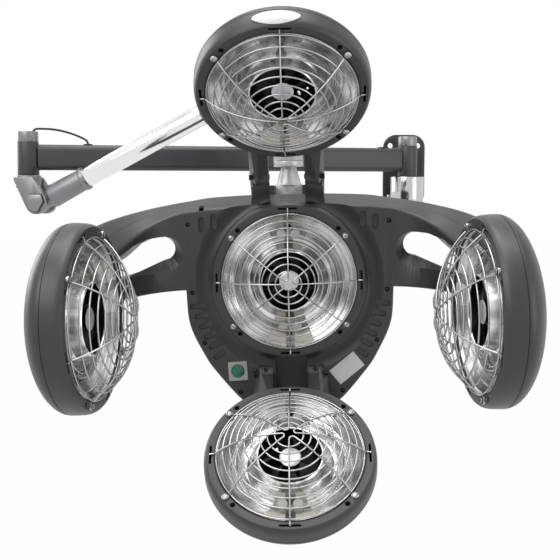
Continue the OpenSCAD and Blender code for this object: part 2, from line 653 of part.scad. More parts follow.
foot_top = 150;
foot_flange_h = 7;
foot_cone_low = 118;
foot_block = [2 * (cheek_in - seat), 28, 30];
foot_block_z = 90;
foot_spigot_r = 9;
foot_spigot_h = 14;
hanger_r = 20;
module hanger_foot() color([0.8, 0.8, 0.81]) at_hub() difference() {
    union() {
        translate([0, hanger_back, 0]) {
            cylinder_up(foot_top - foot_flange_h, foot_flange_h, hanger_r);
            translate([0, 0, foot_cone_low]) cylinder(h = foot_top - foot_flange_h + 1 - foot_cone_low, r1 = 16.5, r2 = 10);
            cylinder_up(foot_top - eps, foot_spigot_h, foot_spigot_r);
        }
        translate([-foot_block[0] / 2, hanger_back - foot_block[1] / 2, foot_block_z]) cube(foot_block);
    }
    translate([0, tilt_pivot[1], tilt_pivot[2]]) bar_x(-foot_block[0], foot_block[0], tilt_pin_r + running);
}
module cylinder_up(z, h, r) translate([0, 0, z]) cylinder(h = h, r = r);

// Housing that stays upright at the end of the outer arm
end_pin_r = 4;
end_pin_len = 34;
ear_r = 15;
ear_t = 6;
ear_mid = 13.3;
ear_drop = 36;
module hanger_housing() color([0.82, 0.82, 0.83]) {
    at_hub() translate([0, hanger_back, 0]) difference() {
        cylinder_up(foot_top + 0.4, hanger_drop - ear_drop + 2 - foot_top - 0.4, hanger_r);
        cylinder_up(foot_top, foot_spigot_h + 0.5, foot_spigot_r + running);
    }
    at_hanger() {
        for (side = [-1, 1]) translate([0, side * ear_mid, 0]) {
            rotate([90, 0, 0]) cylinder(h = ear_t, r = ear_r, center = true);
            translate([-13, -ear_t / 2, -ear_drop]) cube([26, ear_t, ear_drop]);
        }
        rotate([90, 0, 0]) cylinder(h = end_pin_len, r = end_pin_r, center = true);
    }
}

// Outer arm
fork_in = 12;
fork_out = 19;
fork_r = 16;
lift_pin_r = 5;
lift_cover_r = 13.5;
lift_cover_h = 4;
cheek_gap = 0.4;
casting_len = 70;
casting_start = 20;
casting_r = 16.4;
casting_end_r = 15;
casting_eye_r = 13;
collar_len = 6;
collar_r = 16.5;
tube_wall = 4;
tube_spigot = 20;
tube_spigot_r = tube_r - 2;
groove_w = 3.2;
groove_margin = 20;
groove_turn = 55;         // turn of the groove about the tube, towards the room
knuckle_len = 96;
knuckle_eye = 34;
knuckle_start = outer_len - knuckle_len - knuckle_eye;
knuckle_eye_r = 11;
module outer_arm_casting() color([0.55, 0.55, 0.56]) at_outer() difference() {
    union() {
        rotate([90, 0, 0]) cylinder(h = 2 * (fork_in - cheek_gap), r = casting_eye_r, center = true);
        bar_x(0, casting_start + 4, casting_eye_r - 1);
        translate([casting_start, 0, 0]) rotate([0, 90, 0])
            cylinder(h = casting_len - casting_start, r1 = casting_r, r2 = casting_end_r);
    }
    rotate([90, 0, 0]) cylinder(h = 60, r = lift_pin_r + running, center = true);
    bar_x(casting_len - tube_spigot - 4, casting_len + 1, tube_spigot_r + 0.02);
}
module outer_arm_collar() color([0.75, 0.75, 0.76]) at_outer() translate([casting_len, 0, 0])
    rotate([0, 90, 0]) ring(collar_r, tube_spigot_r, collar_len);
module outer_arm_tube() color(bright) at_outer() difference() {
    union() {
        bar_x(casting_len + collar_len, knuckle_start, tube_r);
        bar_x(casting_len - tube_spigot, casting_len + collar_len + 1, tube_spigot_r - 0.05);
    }
    bar_x(casting_len - tube_spigot - 1, knuckle_start + 1, tube_r - tube_wall);
    rotate([groove_turn, 0, 0])
        translate([casting_len + groove_margin, -groove_w / 2, tube_r - 1.2])
            cube([knuckle_start - casting_len - 2 * groove_margin, groove_w, 3]);
}

// Balance spring cylinder and its rod, inside the tube
spring_r = 8;
rod_r = 3.5;
rod_len = 60;
module arm_spring() color([0.2, 0.2, 0.2]) at_outer() {
    bar_x(casting_len - 10, knuckle_start - rod_len, spring_r);
    bar_x(knuckle_start - rod_len - eps, knuckle_start + 4, rod_r);
}
module end_knuckle() color(charcoal) at_outer() difference() {
    union() {
        bar_x(knuckle_start, outer_len - knuckle_eye, tube_r + 1.2);
        bar_x(outer_len - knuckle_eye - 1, outer_len, knuckle_eye_r - 2);
        translate([outer_len, 0, 0]) rotate([90, 0, 0]) cylinder(h = 20, r = knuckle_eye_r, center = true);
    }
    bar_x(knuckle_start - 1, knuckle_start + 5, rod_r + seat);
    translate([outer_len, 0, 0]) rotate([90, 0, 0])
        cylinder(h = 60, r = end_pin_r + running, center = true);
}

// Elbow
spindle_r = 8;
fork_top = [-27, 17.5];   // lower face and radius of the fork's disc
fork_neck = 14;           // half width of the fork under its disc
module fork_plate() hull() {
    translate([lift_reach, lift_z]) circle(fork_r);
    translate([-fork_neck, -fork_neck - 2]) square([2 * fork_neck, 4]);
}
module elbow_fork() color([0.3, 0.3, 0.31]) at_elbow() difference() {
    union() {
        cylinder_up(fork_top[0], sleeve_low - cheek_gap - fork_top[0], fork_top[1]);
        for (side = [-1, 1]) translate([0, side * (fork_in + fork_out) / 2, 0]) rotate([90, 0, 0])
            linear_extrude(height = fork_out - fork_in, center = true) fork_plate();
        cylinder_up(sleeve_low - 1, sleeve_high - sleeve_low, spindle_r);
    }
    translate([lift_reach, 0, lift_z]) rotate([90, 0, 0]) {
        cylinder(h = 60, r = lift_pin_r + running, center = true);
        cylinder(h = 2 * fork_in, r = casting_r + 1, center = true);
    }
}
module elbow_pin() color([0.7, 0.7, 0.71]) at_elbow() translate([lift_reach, 0, lift_z]) rotate([90, 0, 0]) {
    cylinder(h = 2 * fork_out + 1, r = lift_pin_r, center = true);
    for (side = [-1, 1]) translate([0, 0, side * (fork_out + seat + lift_cover_h / 2)])
        cylinder(h = lift_cover_h, r = lift_cover_r, center = true);
}

// Inner arm: a flat tube between two upright sleeves
module arm_section(inset) rotate([90, 0, 90]) linear_extrude(height = inner_len - 2 * sleeve_r + 4)
    round_rect(inner_t - 2 * inset, inner_h - 2 * inset, 8 - inset);
module inner_arm() color(arm_grey) at_inner() difference() {
    union() {
        translate([sleeve_r - 2, 0, inner_z]) arm_section(0);
        for (x = [0, inner_len]) translate([x, 0, sleeve_low]) cylinder(h = sleeve_high - sleeve_low, r = sleeve_r);
    }
    intersection() {
        translate([sleeve_r - 2, 0, inner_z]) arm_section(arm_wall);
        translate([sleeve_r + arm_wall, -inner_t, inner_z - inner_h])
            cube([inner_len - 2 * (sleeve_r + arm_wall), 2 * inner_t, 2 * inner_h]);
    }
    for (x = [0, inner_len]) translate([x, 0, sleeve_low - 1])
        cylinder(h = sleeve_high - sleeve_low + 2, r = spindle_r + running);
    for (x = grommet_places) translate([x, 0, inner_z]) cylinder(h = inner_h, r = grommet_r);
}
module sleeve_caps() color([0.55, 0.55, 0.56]) at_inner() difference() {
    for (x = [0, inner_len]) translate([x, 0, sleeve_high]) cylinder(h = cap_h, r = sleeve_r - 0.4);
    for (x = [0, inner_len]) translate([x, 0, sleeve_high - eps]) cylinder(h = 3, r = spindle_r + 1);
    translate([inner_len - cap_hole_x, 0, cap_top - cap_hole_depth]) cylinder(h = cap_h, r = cable_hole_r);
}
module cable_grommets() color(black) at_inner() for (x = grommet_places)
    translate([x, 0, inner_z + inner_h / 2]) {
        cylinder(h = grommet_flange_h, r = grommet_r + 1.5);
        translate([0, 0, -arm_wall]) cylinder(h = arm_wall + 1, r = grommet_r - 0.1);
    }

// The lead that hops from the elbow cap into the inner arm
module sweep(route, r, sides) {
    function dir(i) = let(a = route[max(i - 1, 0)], b = route[min(i + 1, len(route) - 1)]) (b - a) / norm(b - a);
    points = [for (i = [0 : len(route) - 1], k = [0 : sides - 1])
        route[i] + r * cos(360 * k / sides) * [0, 1, 0]
            + r * sin(360 * k / sides) * [dir(i)[2], 0, -dir(i)[0]]];
    rows = len(route);
    around = [for (i = [0 : rows - 2], k = [0 : sides - 1]) let(n = (k + 1) % sides)
        each [[i * sides + k, i * sides + n, (i + 1) * sides + n],
            [i * sides + k, (i + 1) * sides + n, (i + 1) * sides + k]]];
    polyhedron(points, concat(around, [[for (k = [sides - 1 : -1 : 0]) k]],
        [[for (k = [0 : sides - 1]) (rows - 1) * sides + k]]));
}
module link_cable() color(black) at_inner() sweep(cable_route, cable_r, 8);

// Wall side
plate_t = 8;
plate_corner_r = 20;
post_r = 25.5;
post_top = -10;
post_bottom = -52;
module wall_plate() color([0.24, 0.24, 0.25]) difference() {
    rotate([90, 0, 0]) linear_extrude(height = plate_t) round_rect(plate_w, plate_h, plate_corner_r);
    for (x = [-1, 1], z = [-1, 1]) translate([x * bolt_x / 2, 1, z * bolt_z / 2]) rotate([90, 0, 0])
        cylinder(h = plate_t + 2, r = bolt_hole_r);
}
module wall_post() color([0.6, 0.6, 0.61]) {
    translate([0, 0, post_bottom]) linear_extrude(height = post_top - post_bottom) {
        translate(wall_axis) circle(post_r);
        translate([-post_r, -wall_pivot_y]) square([2 * post_r, wall_pivot_y - plate_t]);
    }
    translate(wall_axis) translate([0, 0, post_top - 1]) cylinder(h = sleeve_high - post_top, r = spindle_r);
}

// The same set of pieces fills every head
module centre_bezel() color(charcoal) at_centre() bezel();
module centre_reflector() color(bright) at_centre() reflector();
module centre_lamp() color([0.9, 0.9, 0.85]) at_centre() lamp();
module centre_fan() color(black) at_centre() fan();
module centre_motor() color([0.4, 0.4, 0.42]) at_centre() motor();
module centre_guard() color(bright) at_centre() guard();

module top_bezel() color(charcoal) at_top() bezel();
module top_reflector() color(bright) at_top() reflector();
module top_lamp() color([0.9, 0.9, 0.85]) at_top() lamp();
module top_fan() color(black) at_top() fan();
module top_motor() color([0.4, 0.4, 0.42]) at_top() motor();
module top_guard() color(bright) at_top() guard();
module top_screws() color(bright) at_top() {
    head_screws();
    neck_pins(top_neck, hinge_setback);
}
module top_shell() color(charcoal) at_top() {
    dome();
    neck(top_neck, hinge_setback);
}

module bottom_bezel() color(charcoal) at_bottom() bezel();
module bottom_reflector() color(bright) at_bottom() reflector();
module bottom_lamp() color([0.9, 0.9, 0.85]) at_bottom() lamp();
module bottom_fan() color(black) at_bottom() fan();
module bottom_motor() color([0.4, 0.4, 0.42]) at_bottom() motor();
module bottom_guard() color(bright) at_bottom() guard();
module bottom_screws() color(bright) at_bottom() {
    head_screws();
    rotate(180) neck_pins(bottom_neck, bottom_setback);
}
module bottom_shell() color(charcoal) at_bottom() {
    dome();
    rotate(180) neck(bottom_neck, bottom_setback);
}

module side_shell(side) {
    rotate(side * side_spin) dome();
    side_leaf(side);
}
module side_screws(side) {
    rotate(side * side_spin) head_screws();
    side_pin(side);
}
module left_bezel() color(charcoal) at_side_turned(-1) bezel();
module left_reflector() color(bright) at_side_turned(-1) reflector();
module left_lamp() color([0.9, 0.9, 0.85]) at_side_turned(-1) lamp();
module left_fan() color(black) at_side_turned(-1) fan();
module left_motor() color([0.4, 0.4, 0.42]) at_side_turned(-1) motor();
module left_guard() color(bright) at_side_turned(-1) guard();
module left_screws() color(bright) at_side(-1) side_screws(-1);
module left_shell() color(charcoal) at_side(-1) side_shell(-1);

module right_bezel() color(charcoal) at_side_turned(1) bezel();
module right_reflector() color(bright) at_side_turned(1) reflector();
module right_lamp() color([0.9, 0.9, 0.85]) at_side_turned(1) lamp();
module right_fan() color(black) at_side_turned(1) fan();
module right_motor() color([0.4, 0.4, 0.42]) at_side_turned(1) motor();
module right_guard() color(bright) at_side_turned(1) guard();
module right_screws() color(bright) at_side(1) side_screws(1);
module right_shell() color(charcoal) at_side(1) side_shell(1);

wall_plate();
wall_post();
inner_arm();
sleeve_caps();
link_cable();
cable_grommets();
elbow_fork();
elbow_pin();
outer_arm_casting();
outer_arm_collar();
outer_arm_tube();
arm_spring();
end_knuckle();
hanger_housing();
hanger_foot();
tilt_bracket();
hub_front_cover();
hub_rear_cover();
hub_screws();
switch_bezel();
power_button();
control_board();
centre_bezel();
centre_reflector();
centre_lamp();
centre_fan();
centre_motor();
centre_guard();
top_bezel();
top_reflector();
top_lamp();
top_fan();
top_motor();
top_guard();
top_screws();
top_shell();
bottom_bezel();
bottom_reflector();
bottom_lamp();
bottom_fan();
bottom_motor();
bottom_guard();
bottom_screws();
bottom_shell();
left_bezel();
left_reflector();
left_lamp();
left_fan();
left_motor();
left_guard();
left_screws();
left_shell();
right_bezel();
right_reflector();
right_lamp();
right_fan();
right_motor();
right_guard();
right_screws();
right_shell();
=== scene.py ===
import json
import math

import bpy
from mathutils import Matrix, Vector


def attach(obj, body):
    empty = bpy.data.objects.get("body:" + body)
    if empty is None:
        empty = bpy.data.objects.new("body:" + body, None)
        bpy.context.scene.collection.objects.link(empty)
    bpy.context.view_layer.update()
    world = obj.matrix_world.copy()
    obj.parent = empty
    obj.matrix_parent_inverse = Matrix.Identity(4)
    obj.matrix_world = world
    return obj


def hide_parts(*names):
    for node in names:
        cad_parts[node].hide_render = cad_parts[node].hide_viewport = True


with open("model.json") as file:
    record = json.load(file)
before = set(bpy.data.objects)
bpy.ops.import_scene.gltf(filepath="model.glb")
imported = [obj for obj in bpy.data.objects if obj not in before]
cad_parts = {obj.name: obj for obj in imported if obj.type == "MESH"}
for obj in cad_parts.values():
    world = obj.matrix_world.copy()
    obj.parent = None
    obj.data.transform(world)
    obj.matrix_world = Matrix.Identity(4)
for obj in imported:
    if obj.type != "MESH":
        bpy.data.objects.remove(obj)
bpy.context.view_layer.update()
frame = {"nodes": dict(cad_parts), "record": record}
bpy.ops.object.select_all(action="DESELECT")

# Camera: it stands 1.2 m in front of the middle head, a little above it, and looks slightly down.
# Its lens gives the photograph's square frame.
camera_data = bpy.data.cameras.new("camera")
camera_data.lens, camera_data.sensor_width = 62.87, 36
camera = bpy.data.objects.new("camera", camera_data)
camera.location = (-0.1980, -1.5814, -0.0239)
camera.rotation_euler = (math.radians(90 - 5.5), 0, 0)
bpy.context.scene.collection.objects.link(camera)
bpy.context.scene.camera = camera
bpy.context.scene.view_settings.view_transform = "Standard"

# Studio: a pale floor under the dryer, white all round, and four large soft lamps. The key lamp stands
# at the upper left of the camera, one hangs above, a weak one fills from the right, and one lights the back.
floor_z = -1.25
bpy.ops.mesh.primitive_grid_add(x_subdivisions=4, y_subdivisions=4, size=40, location=(0, 0, 0))
floor = bpy.context.object
floor.name = "studio_floor"
floor.location.z = floor_z
paint = bpy.data.materials.new("studio_floor_paint")
paint.use_nodes = True
nodes, links = paint.node_tree.nodes, paint.node_tree.links
paint.node_tree.nodes["Principled BSDF"].inputs["Base Color"].default_value = (0.9, 0.9, 0.9, 1)
paint.node_tree.nodes["Principled BSDF"].inputs["Roughness"].default_value = 0.8
glow = nodes.new("ShaderNodeEmission")
rays = nodes.new("ShaderNodeLightPath")
seen = nodes.new("ShaderNodeMath")
seen.operation = "MAXIMUM"
share = nodes.new("ShaderNodeMath")
share.operation, share.inputs[1].default_value = "MULTIPLY", 0.985
blend = nodes.new("ShaderNodeMixShader")
links.new(rays.outputs["Is Camera Ray"], seen.inputs[0])
links.new(rays.outputs["Is Glossy Ray"], seen.inputs[1])
links.new(seen.outputs[0], share.inputs[0])
links.new(share.outputs[0], blend.inputs[0])
links.new(nodes["Principled BSDF"].outputs[0], blend.inputs[1])
links.new(glow.outputs[0], blend.inputs[2])
links.new(blend.outputs[0], nodes["Material Output"].inputs["Surface"])
floor.data.materials.append(paint)

world = bpy.data.worlds.new("studio")
bpy.context.scene.world = world
world.use_nodes = True
nodes, links = world.node_tree.nodes, world.node_tree.links
AMBIENT = 0.42
soft = nodes["Background"]
soft.inputs["Color"].default_value, soft.inputs["Strength"].default_value = (1, 1, 1, 1), AMBIENT
white = nodes.new("ShaderNodeBackground")
white.inputs["Color"].default_value, white.inputs["Strength"].default_value = (1, 1, 1, 1), 1
rays = nodes.new("ShaderNodeLightPath")
either = nodes.new("ShaderNodeMath")
either.operation = "MAXIMUM"
any_ray = nodes.new("ShaderNodeMath")
any_ray.operation = "MAXIMUM"
blend = nodes.new("ShaderNodeMixShader")
links.new(rays.outputs["Is Camera Ray"], either.inputs[0])
links.new(rays.outputs["Is Glossy Ray"], either.inputs[1])
links.new(either.outputs[0], any_ray.inputs[0])
links.new(rays.outputs["Is Transmission Ray"], any_ray.inputs[1])
links.new(any_ray.outputs[0], blend.inputs[0])
links.new(soft.outputs[0], blend.inputs[1])
links.new(white.outputs[0], blend.inputs[2])
links.new(blend.outputs[0], nodes["World Output"].inputs["Surface"])

lamps = [("key_lamp", (-1.5, -2.1, 1.5), (2.1, 1.6), 34), ("top_lamp", (-0.3, -0.5, 1.9), (2.0, 1.4), 34),
         ("fill_lamp", (1.7, -1.7, 0.1), (1.0, 1.4), 9), ("back_lamp", (-1.9, 0.9, 0.6), (1.0, 1.4), 16)]
for name, place, size, power in lamps:
    lamp = bpy.data.lights.new(name, "AREA")
    lamp.shape, lamp.size, lamp.size_y, lamp.energy = "RECTANGLE", *size, power
    holder = bpy.data.objects.new(name, lamp)
    holder.location = place
    holder.rotation_euler = (Vector(place) - Vector((-0.19, -0.4, -0.1))).to_track_quat("Z", "Y").to_euler()
    holder.visible_camera = False
    bpy.context.scene.collection.objects.link(holder)


# Link cable: a short black lead that leaves the elbow cap, bends over and drops into the arm's grommet.
# It is a round rubber cable, held at both ends, so it stands in one low arch.
mm = 0.001


def calculator(tree):
    """Gives a function that adds a Math node to the tree and returns its output."""
    def maths(kind, first, second=0.0, third=0.0):
        node = tree.nodes.new("ShaderNodeMath")
        node.operation = kind
        for socket, value in zip(node.inputs, (first, second, third)):
            if isinstance(value, (int, float)):
                socket.default_value = value
            else:
                tree.links.new(value, socket)
        return node.outputs[0]
    return maths


def surface_effect():
    """Shared node group: fine grain for a bump, slow mottling of colour and gloss, and dust on top faces."""
    made = bpy.data.node_groups.new("surface_effect", "ShaderNodeTree")
    colour_in = made.interface.new_socket("Colour", in_out="INPUT", socket_type="NodeSocketColor")
    colour_in.default_value = (0.1, 0.1, 0.1, 1)
    for name, value in [("Grain Scale", 1500), ("Mottle", 0.2), ("Roughness", 0.4), ("Gloss Spread", 0.1),
                        ("Dust", 0.0)]:
        made.interface.new_socket(name, in_out="INPUT", socket_type="NodeSocketFloat").default_value = value
    for name, kind in [("Colour", "NodeSocketColor"), ("Roughness", "NodeSocketFloat"),
                       ("Height", "NodeSocketFloat")]:
        made.interface.new_socket(name, in_out="OUTPUT", socket_type=kind)
    nodes, links = made.nodes, made.links
    given, out = nodes.new("NodeGroupInput"), nodes.new("NodeGroupOutput")
    place = nodes.new("ShaderNodeTexCoord")
    grain, slow = nodes.new("ShaderNodeTexNoise"), nodes.new("ShaderNodeTexNoise")
    grain.inputs["Detail"].default_value = 3
    slow.inputs["Scale"].default_value, slow.inputs["Detail"].default_value = 22, 5
    links.new(place.outputs["Object"], grain.inputs["Vector"])
    links.new(place.outputs["Object"], slow.inputs["Vector"])
    links.new(given.outputs["Grain Scale"], grain.inputs["Scale"])
    links.new(grain.outputs["Fac"], out.inputs["Height"])
    maths = calculator(made)
    swing = maths("SUBTRACT", slow.outputs["Fac"], 0.5)
    gloss = maths("MULTIPLY", swing, given.outputs["Gloss Spread"])
    links.new(maths("ADD", given.outputs["Roughness"], gloss), out.inputs["Roughness"])
    tone = nodes.new("ShaderNodeHueSaturation")
    links.new(given.outputs["Colour"], tone.inputs["Color"])
    links.new(maths("ADD", 1.0, maths("MULTIPLY", swing, given.outputs["Mottle"])), tone.inputs["Value"])
    facing = nodes.new("ShaderNodeNewGeometry")
    split = nodes.new("ShaderNodeSeparateXYZ")
    links.new(facing.outputs["Normal"], split.inputs[0])
    dusty = nodes.new("ShaderNodeMix")
    dusty.data_type = "RGBA"
    dusty.inputs["B"].default_value = (0.35, 0.34, 0.32, 1)
    up = maths("MAXIMUM", maths("SUBTRACT", split.outputs["Z"], 0.55), 0.0)
    fall = maths("MULTIPLY", up, given.outputs["Dust"])
    links.new(maths("MULTIPLY", fall, slow.outputs["Fac"]), dusty.inputs["Factor"])
    links.new(tone.outputs["Color"], dusty.inputs["A"])
    links.new(dusty.outputs["Result"], out.inputs["Colour"])
    return made


effect = surface_effect()


def finish_of(name, colour, roughness, metallic=0.0, grain=1500, depth=0.00002, mottle=0.25, spread=0.12,
              dust=0.0, **plain):
    """A material with colour, roughness and bump from the shared effect. Plain sockets are set by name."""
    made = bpy.data.materials.new(name)
    made.use_nodes = True
    nodes, links = made.node_tree.nodes, made.node_tree.links
    shader = nodes["Principled BSDF"]
    shader.inputs["Metallic"].default_value = metallic
    for socket, value in plain.items():
        shader.inputs[socket.replace("_", " ")].default_value = value
    group = nodes.new("ShaderNodeGroup")
    group.node_tree = effect
    for socket, value in [("Colour", (*colour, 1)), ("Grain Scale", grain), ("Mottle", mottle),
                          ("Roughness", roughness), ("Gloss Spread", spread), ("Dust", dust)]:
        group.inputs[socket].default_value = value
    bump = nodes.new("ShaderNodeBump")
    bump.inputs["Distance"].default_value = depth
    bump.inputs["Strength"].default_value = 0.6
    links.new(group.outputs["Colour"], shader.inputs["Base Color"])
    links.new(group.outputs["Roughness"], shader.inputs["Roughness"])
    links.new(group.outputs["Height"], bump.inputs["Height"])
    links.new(bump.outputs["Normal"], shader.inputs["Normal"])
    return made


def in_dress(piece, body, made, slot, *nodes):
    """Gives a finished piece its material and body, and hides the CAD nodes that it stands for. The slot is
    not used.
    """
    piece.data.materials.clear()
    piece.data.materials.append(made)
    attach(piece, body)
    if nodes:
        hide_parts(*nodes)
    return piece


CABLE_R, ARM_REACH = 1.5, 571
arm_place = Matrix.Translation((0, -0.050, 0)) @ Matrix.Rotation(math.radians(194.7), 4, "Z")
cable_route = [(7, 48.3)]
cable_route += [(13.5 - 6.5 * math.cos(math.radians(a)), 49.5 + 6.5 * math.sin(math.radians(a)))
                for a in range(0, 91, 15)]
cable_route += [(21, 56.15), (29, 55.95), (37, 55.2), (45, 53.9), (53, 52), (61, 49.6), (68, 47), (74, 44.4)]
cable_route += [(76 + 7 * math.cos(math.radians(a)), 35.5 + 7 * math.sin(math.radians(a)))
                for a in range(60, -1, -15)]
cable_route = [(ARM_REACH - back, 0, up) for back, up in cable_route]
cable_points = [arm_place @ (Vector(p) * mm) for p in cable_route]
cable_line = bpy.data.curves.new("link_cable_lead", "CURVE")
cable_line.dimensions, cable_line.bevel_depth = "3D", CABLE_R * mm
cable_line.bevel_resolution, cable_line.use_fill_caps = 6, True
strand = cable_line.splines.new("POLY")
strand.points.add(len(cable_points) - 1)
for point, place in zip(strand.points, cable_points):
    point.co = (*place, 1)
cable = bpy.data.objects.new("link_cable_lead", cable_line)
bpy.context.scene.collection.objects.link(cable)
rubber = finish_of("black_rubber_skin", (0.012, 0.012, 0.013), 0.55, grain=900, depth=0.00003)
in_dress(cable, "inner_arm", rubber, "black_rubber", "link_cable")


# Cast and machined arm pieces: their CAD shapes are right, so each is copied, welded and given the small
# rounded edges that castings and turned metal have.
def only(piece):
    bpy.ops.object.select_all(action="DESELECT")
    piece.select_set(True)
    bpy.context.view_layer.objects.active = piece
    return piece


def copied(piece, name):
    """A second object with its own copy of the mesh."""
    copy = bpy.data.objects.new(name, piece.data.copy())
    bpy.context.scene.collection.objects.link(copy)
    return copy


def faced_out(piece):
    """Turns every face outwards."""
    only(piece)
    bpy.ops.object.mode_set(mode="EDIT")
    bpy.ops.mesh.select_all(action="SELECT")
    bpy.ops.mesh.normals_make_consistent(inside=False)
    bpy.ops.object.mode_set(mode="OBJECT")
    return piece


def smooth_to(angle):
    """Shades the active piece smooth, except at edges sharper than the angle."""
    bpy.ops.object.shade_smooth_by_angle(angle=math.radians(angle))


def rounded(piece, width, segments=2, angle=35):
    """Rounds every edge sharper than the angle, then shades the piece smooth."""
    only(piece)
    edge = piece.modifiers.new("edges", "BEVEL")
    edge.width, edge.segments, edge.limit_method = width * mm, segments, "ANGLE"
    edge.angle_limit, edge.miter_outer = math.radians(angle), "MITER_ARC"
    bpy.ops.object.modifier_apply(modifier=edge.name)
    smooth_to(40)
    return piece


def welded_copy(node, width, segments=2, angle=35):
    """A copy of a CAD node as one closed mesh with rounded edges."""
    piece = only(copied(frame["nodes"][node], node + "_piece"))
    if piece.data.has_custom_normals:
        bpy.ops.mesh.customdata_custom_splitnormals_clear()
    bpy.ops.object.mode_set(mode="EDIT")
    bpy.ops.mesh.select_all(action="SELECT")
    bpy.ops.mesh.remove_doubles(threshold=0.000004)
    bpy.ops.mesh.dissolve_limited(angle_limit=math.radians(0.6))
    bpy.ops.object.mode_set(mode="OBJECT")
    return rounded(piece, width, segments, angle) if width else piece


charcoal_paint = finish_of("charcoal_powder_coat", (0.036, 0.037, 0.039), 0.40, grain=700, depth=0.00004,
                           dust=0.15)
cast_grey = finish_of("satin_cast_grey", (0.23, 0.232, 0.238), 0.38, metallic=0.55, grain=1100, depth=0.00003)
cap_silver = finish_of("cap_silver", (0.25, 0.25, 0.255), 0.34, metallic=0.7, grain=2000, depth=0.00001)
plate_black = finish_of("plate_coat", (0.022, 0.022, 0.023), 0.42, grain=600, depth=0.00005, dust=0.1)
chrome_post = finish_of("chromed_post", (0.55, 0.55, 0.56), 0.14, metallic=1, grain=2500, depth=0.000004,
                        mottle=0.1)
polished = finish_of("polished_tube_metal", (0.80, 0.80, 0.81), 0.13, metallic=1, grain=2500, depth=0.000004,
                     mottle=0.08, spread=0.05)
steel = finish_of("zinc_steel", (0.42, 0.42, 0.43), 0.3, metallic=1, grain=3000, depth=0.00001)
slot_of = {row["node"]: row["material_slot"] for row in frame["record"]["subparts"]}
arm_pieces = [
    ("wall_plate", "wall", 1.2, plate_black), ("wall_post", "wall", 0.8, chrome_post),
    ("inner_arm", "inner_arm", 0.8, charcoal_paint), ("sleeve_caps", "inner_arm", 0.8, cap_silver),
    ("cable_grommets", "inner_arm", 0.8, rubber), ("elbow_fork", "elbow", 0.9, cast_grey),
    ("outer_arm_casting", "outer_arm", 1.0, cast_grey),
    ("outer_arm_collar", "outer_arm", 0.6, cap_silver), ("outer_arm_tube", "outer_arm", 0.3, polished),
    ("arm_spring", "outer_arm", 0.3, steel), ("end_knuckle", "outer_arm", 1.0, charcoal_paint)]
for node, body, width, made in arm_pieces:
    in_dress(welded_copy(node, width), body, made, slot_of[node], node)

# Hanger: a painted silver housing on the arm's end pin, with the foot that swivels in it. The dark steel
# cheeks that carry the hub are pinned to the foot.
silver_paint = finish_of("silver_grey_paint", (0.55, 0.55, 0.56), 0.30, metallic=0.25, grain=1300,
                         depth=0.00002)
hanger_pieces = [("hanger_housing", "hanger", 1.2, silver_paint), ("hanger_foot", "foot", 1.0, silver_paint),
                 ("tilt_bracket", "hub", 0.8, plate_black)]
for node, body, width, made in hanger_pieces:
    in_dress(welded_copy(node, width), body, made, slot_of[node], node)


# Elbow pin: a steel pin with a flat-sided pale cover on each end, over a thin black plate that is a painted
# shadow round the cover. The cover's outline is drawn once, and the painted shadow plate behind it is a
# little larger.
def prism(name, outline, low, high):
    """A flat outline in millimetres, drawn on a circle's points and extruded along Z from low to high."""
    bpy.ops.mesh.primitive_circle_add(vertices=len(outline), radius=mm, fill_type="NGON", location=(0, 0, 0))
    piece = bpy.context.object
    piece.name = piece.data.name = name
    for point, (x, y) in zip(piece.data.vertices, outline):
        point.co = (x * mm, y * mm, low * mm)
    bpy.ops.object.mode_set(mode="EDIT")
    bpy.ops.mesh.select_all(action="SELECT")
    bpy.ops.mesh.extrude_region_move(TRANSFORM_OT_translate={"value": (0, 0, (high - low) * mm)})
    bpy.ops.mesh.select_all(action="SELECT")
    bpy.ops.mesh.normals_make_consistent(inside=False)
    bpy.ops.object.mode_set(mode="OBJECT")
    return piece


def round_outline(radius, at=(0, 0), steps=24):
    turns = [2 * math.pi * i / steps for i in range(steps)]
    return [(at[0] + radius * math.cos(a), at[1] + radius * math.sin(a)) for a in turns]


def joined(pieces):
    only(pieces[0])
    for piece in pieces[1:]:
        piece.select_set(True)
    if len(pieces) > 1:
        bpy.ops.object.join()
    return pieces[0]


def moved(piece, place):
    piece.data.transform(place)
    return piece


def turn(degrees, axis):
    return Matrix.Rotation(math.radians(degrees), 4, axis)


def shift(x, y, z):
    return Matrix.Translation((x * mm, y * mm, z * mm))


cover = [(-10.2, 12.2), (9.6, 12.2), (13.4, 2.4), (4.2, -13.2), (-2.8, -13.2), (-10.4, -8.6), (-13.2, 1.2)]
elbow_place = shift(-552.31, -194.896, 0) @ turn(-10.3, "Z") @ shift(18, 0, -47.3) @ turn(90, "X")
pin_parts = [prism("pin", round_outline(5, steps=48), -19.3, 19.3)]
smaller = [(0.93 * x, 0.93 * y) for x, y in cover]
pin_parts += [prism("cover", smaller, *depth) for depth in ((20.3, 23.3), (-23.3, -20.3))]
pin = moved(rounded(joined(pin_parts), 0.5), elbow_place)
in_dress(pin, "elbow", cap_silver, slot_of["elbow_pin"], "elbow_pin")
# Painted shadow: a black plate a little larger than each cover stands for the shadow round the cover's edge.
shadow_plates = joined([prism("shadow_plate", cover, *depth) for depth in ((19.05, 20.3), (-20.3, -19.05))])
shadow_plates.name = shadow_plates.data.name = "elbow_painted_shadow_plates"
in_dress(moved(shadow_plates, elbow_place), "elbow", rubber, "black_rubber")

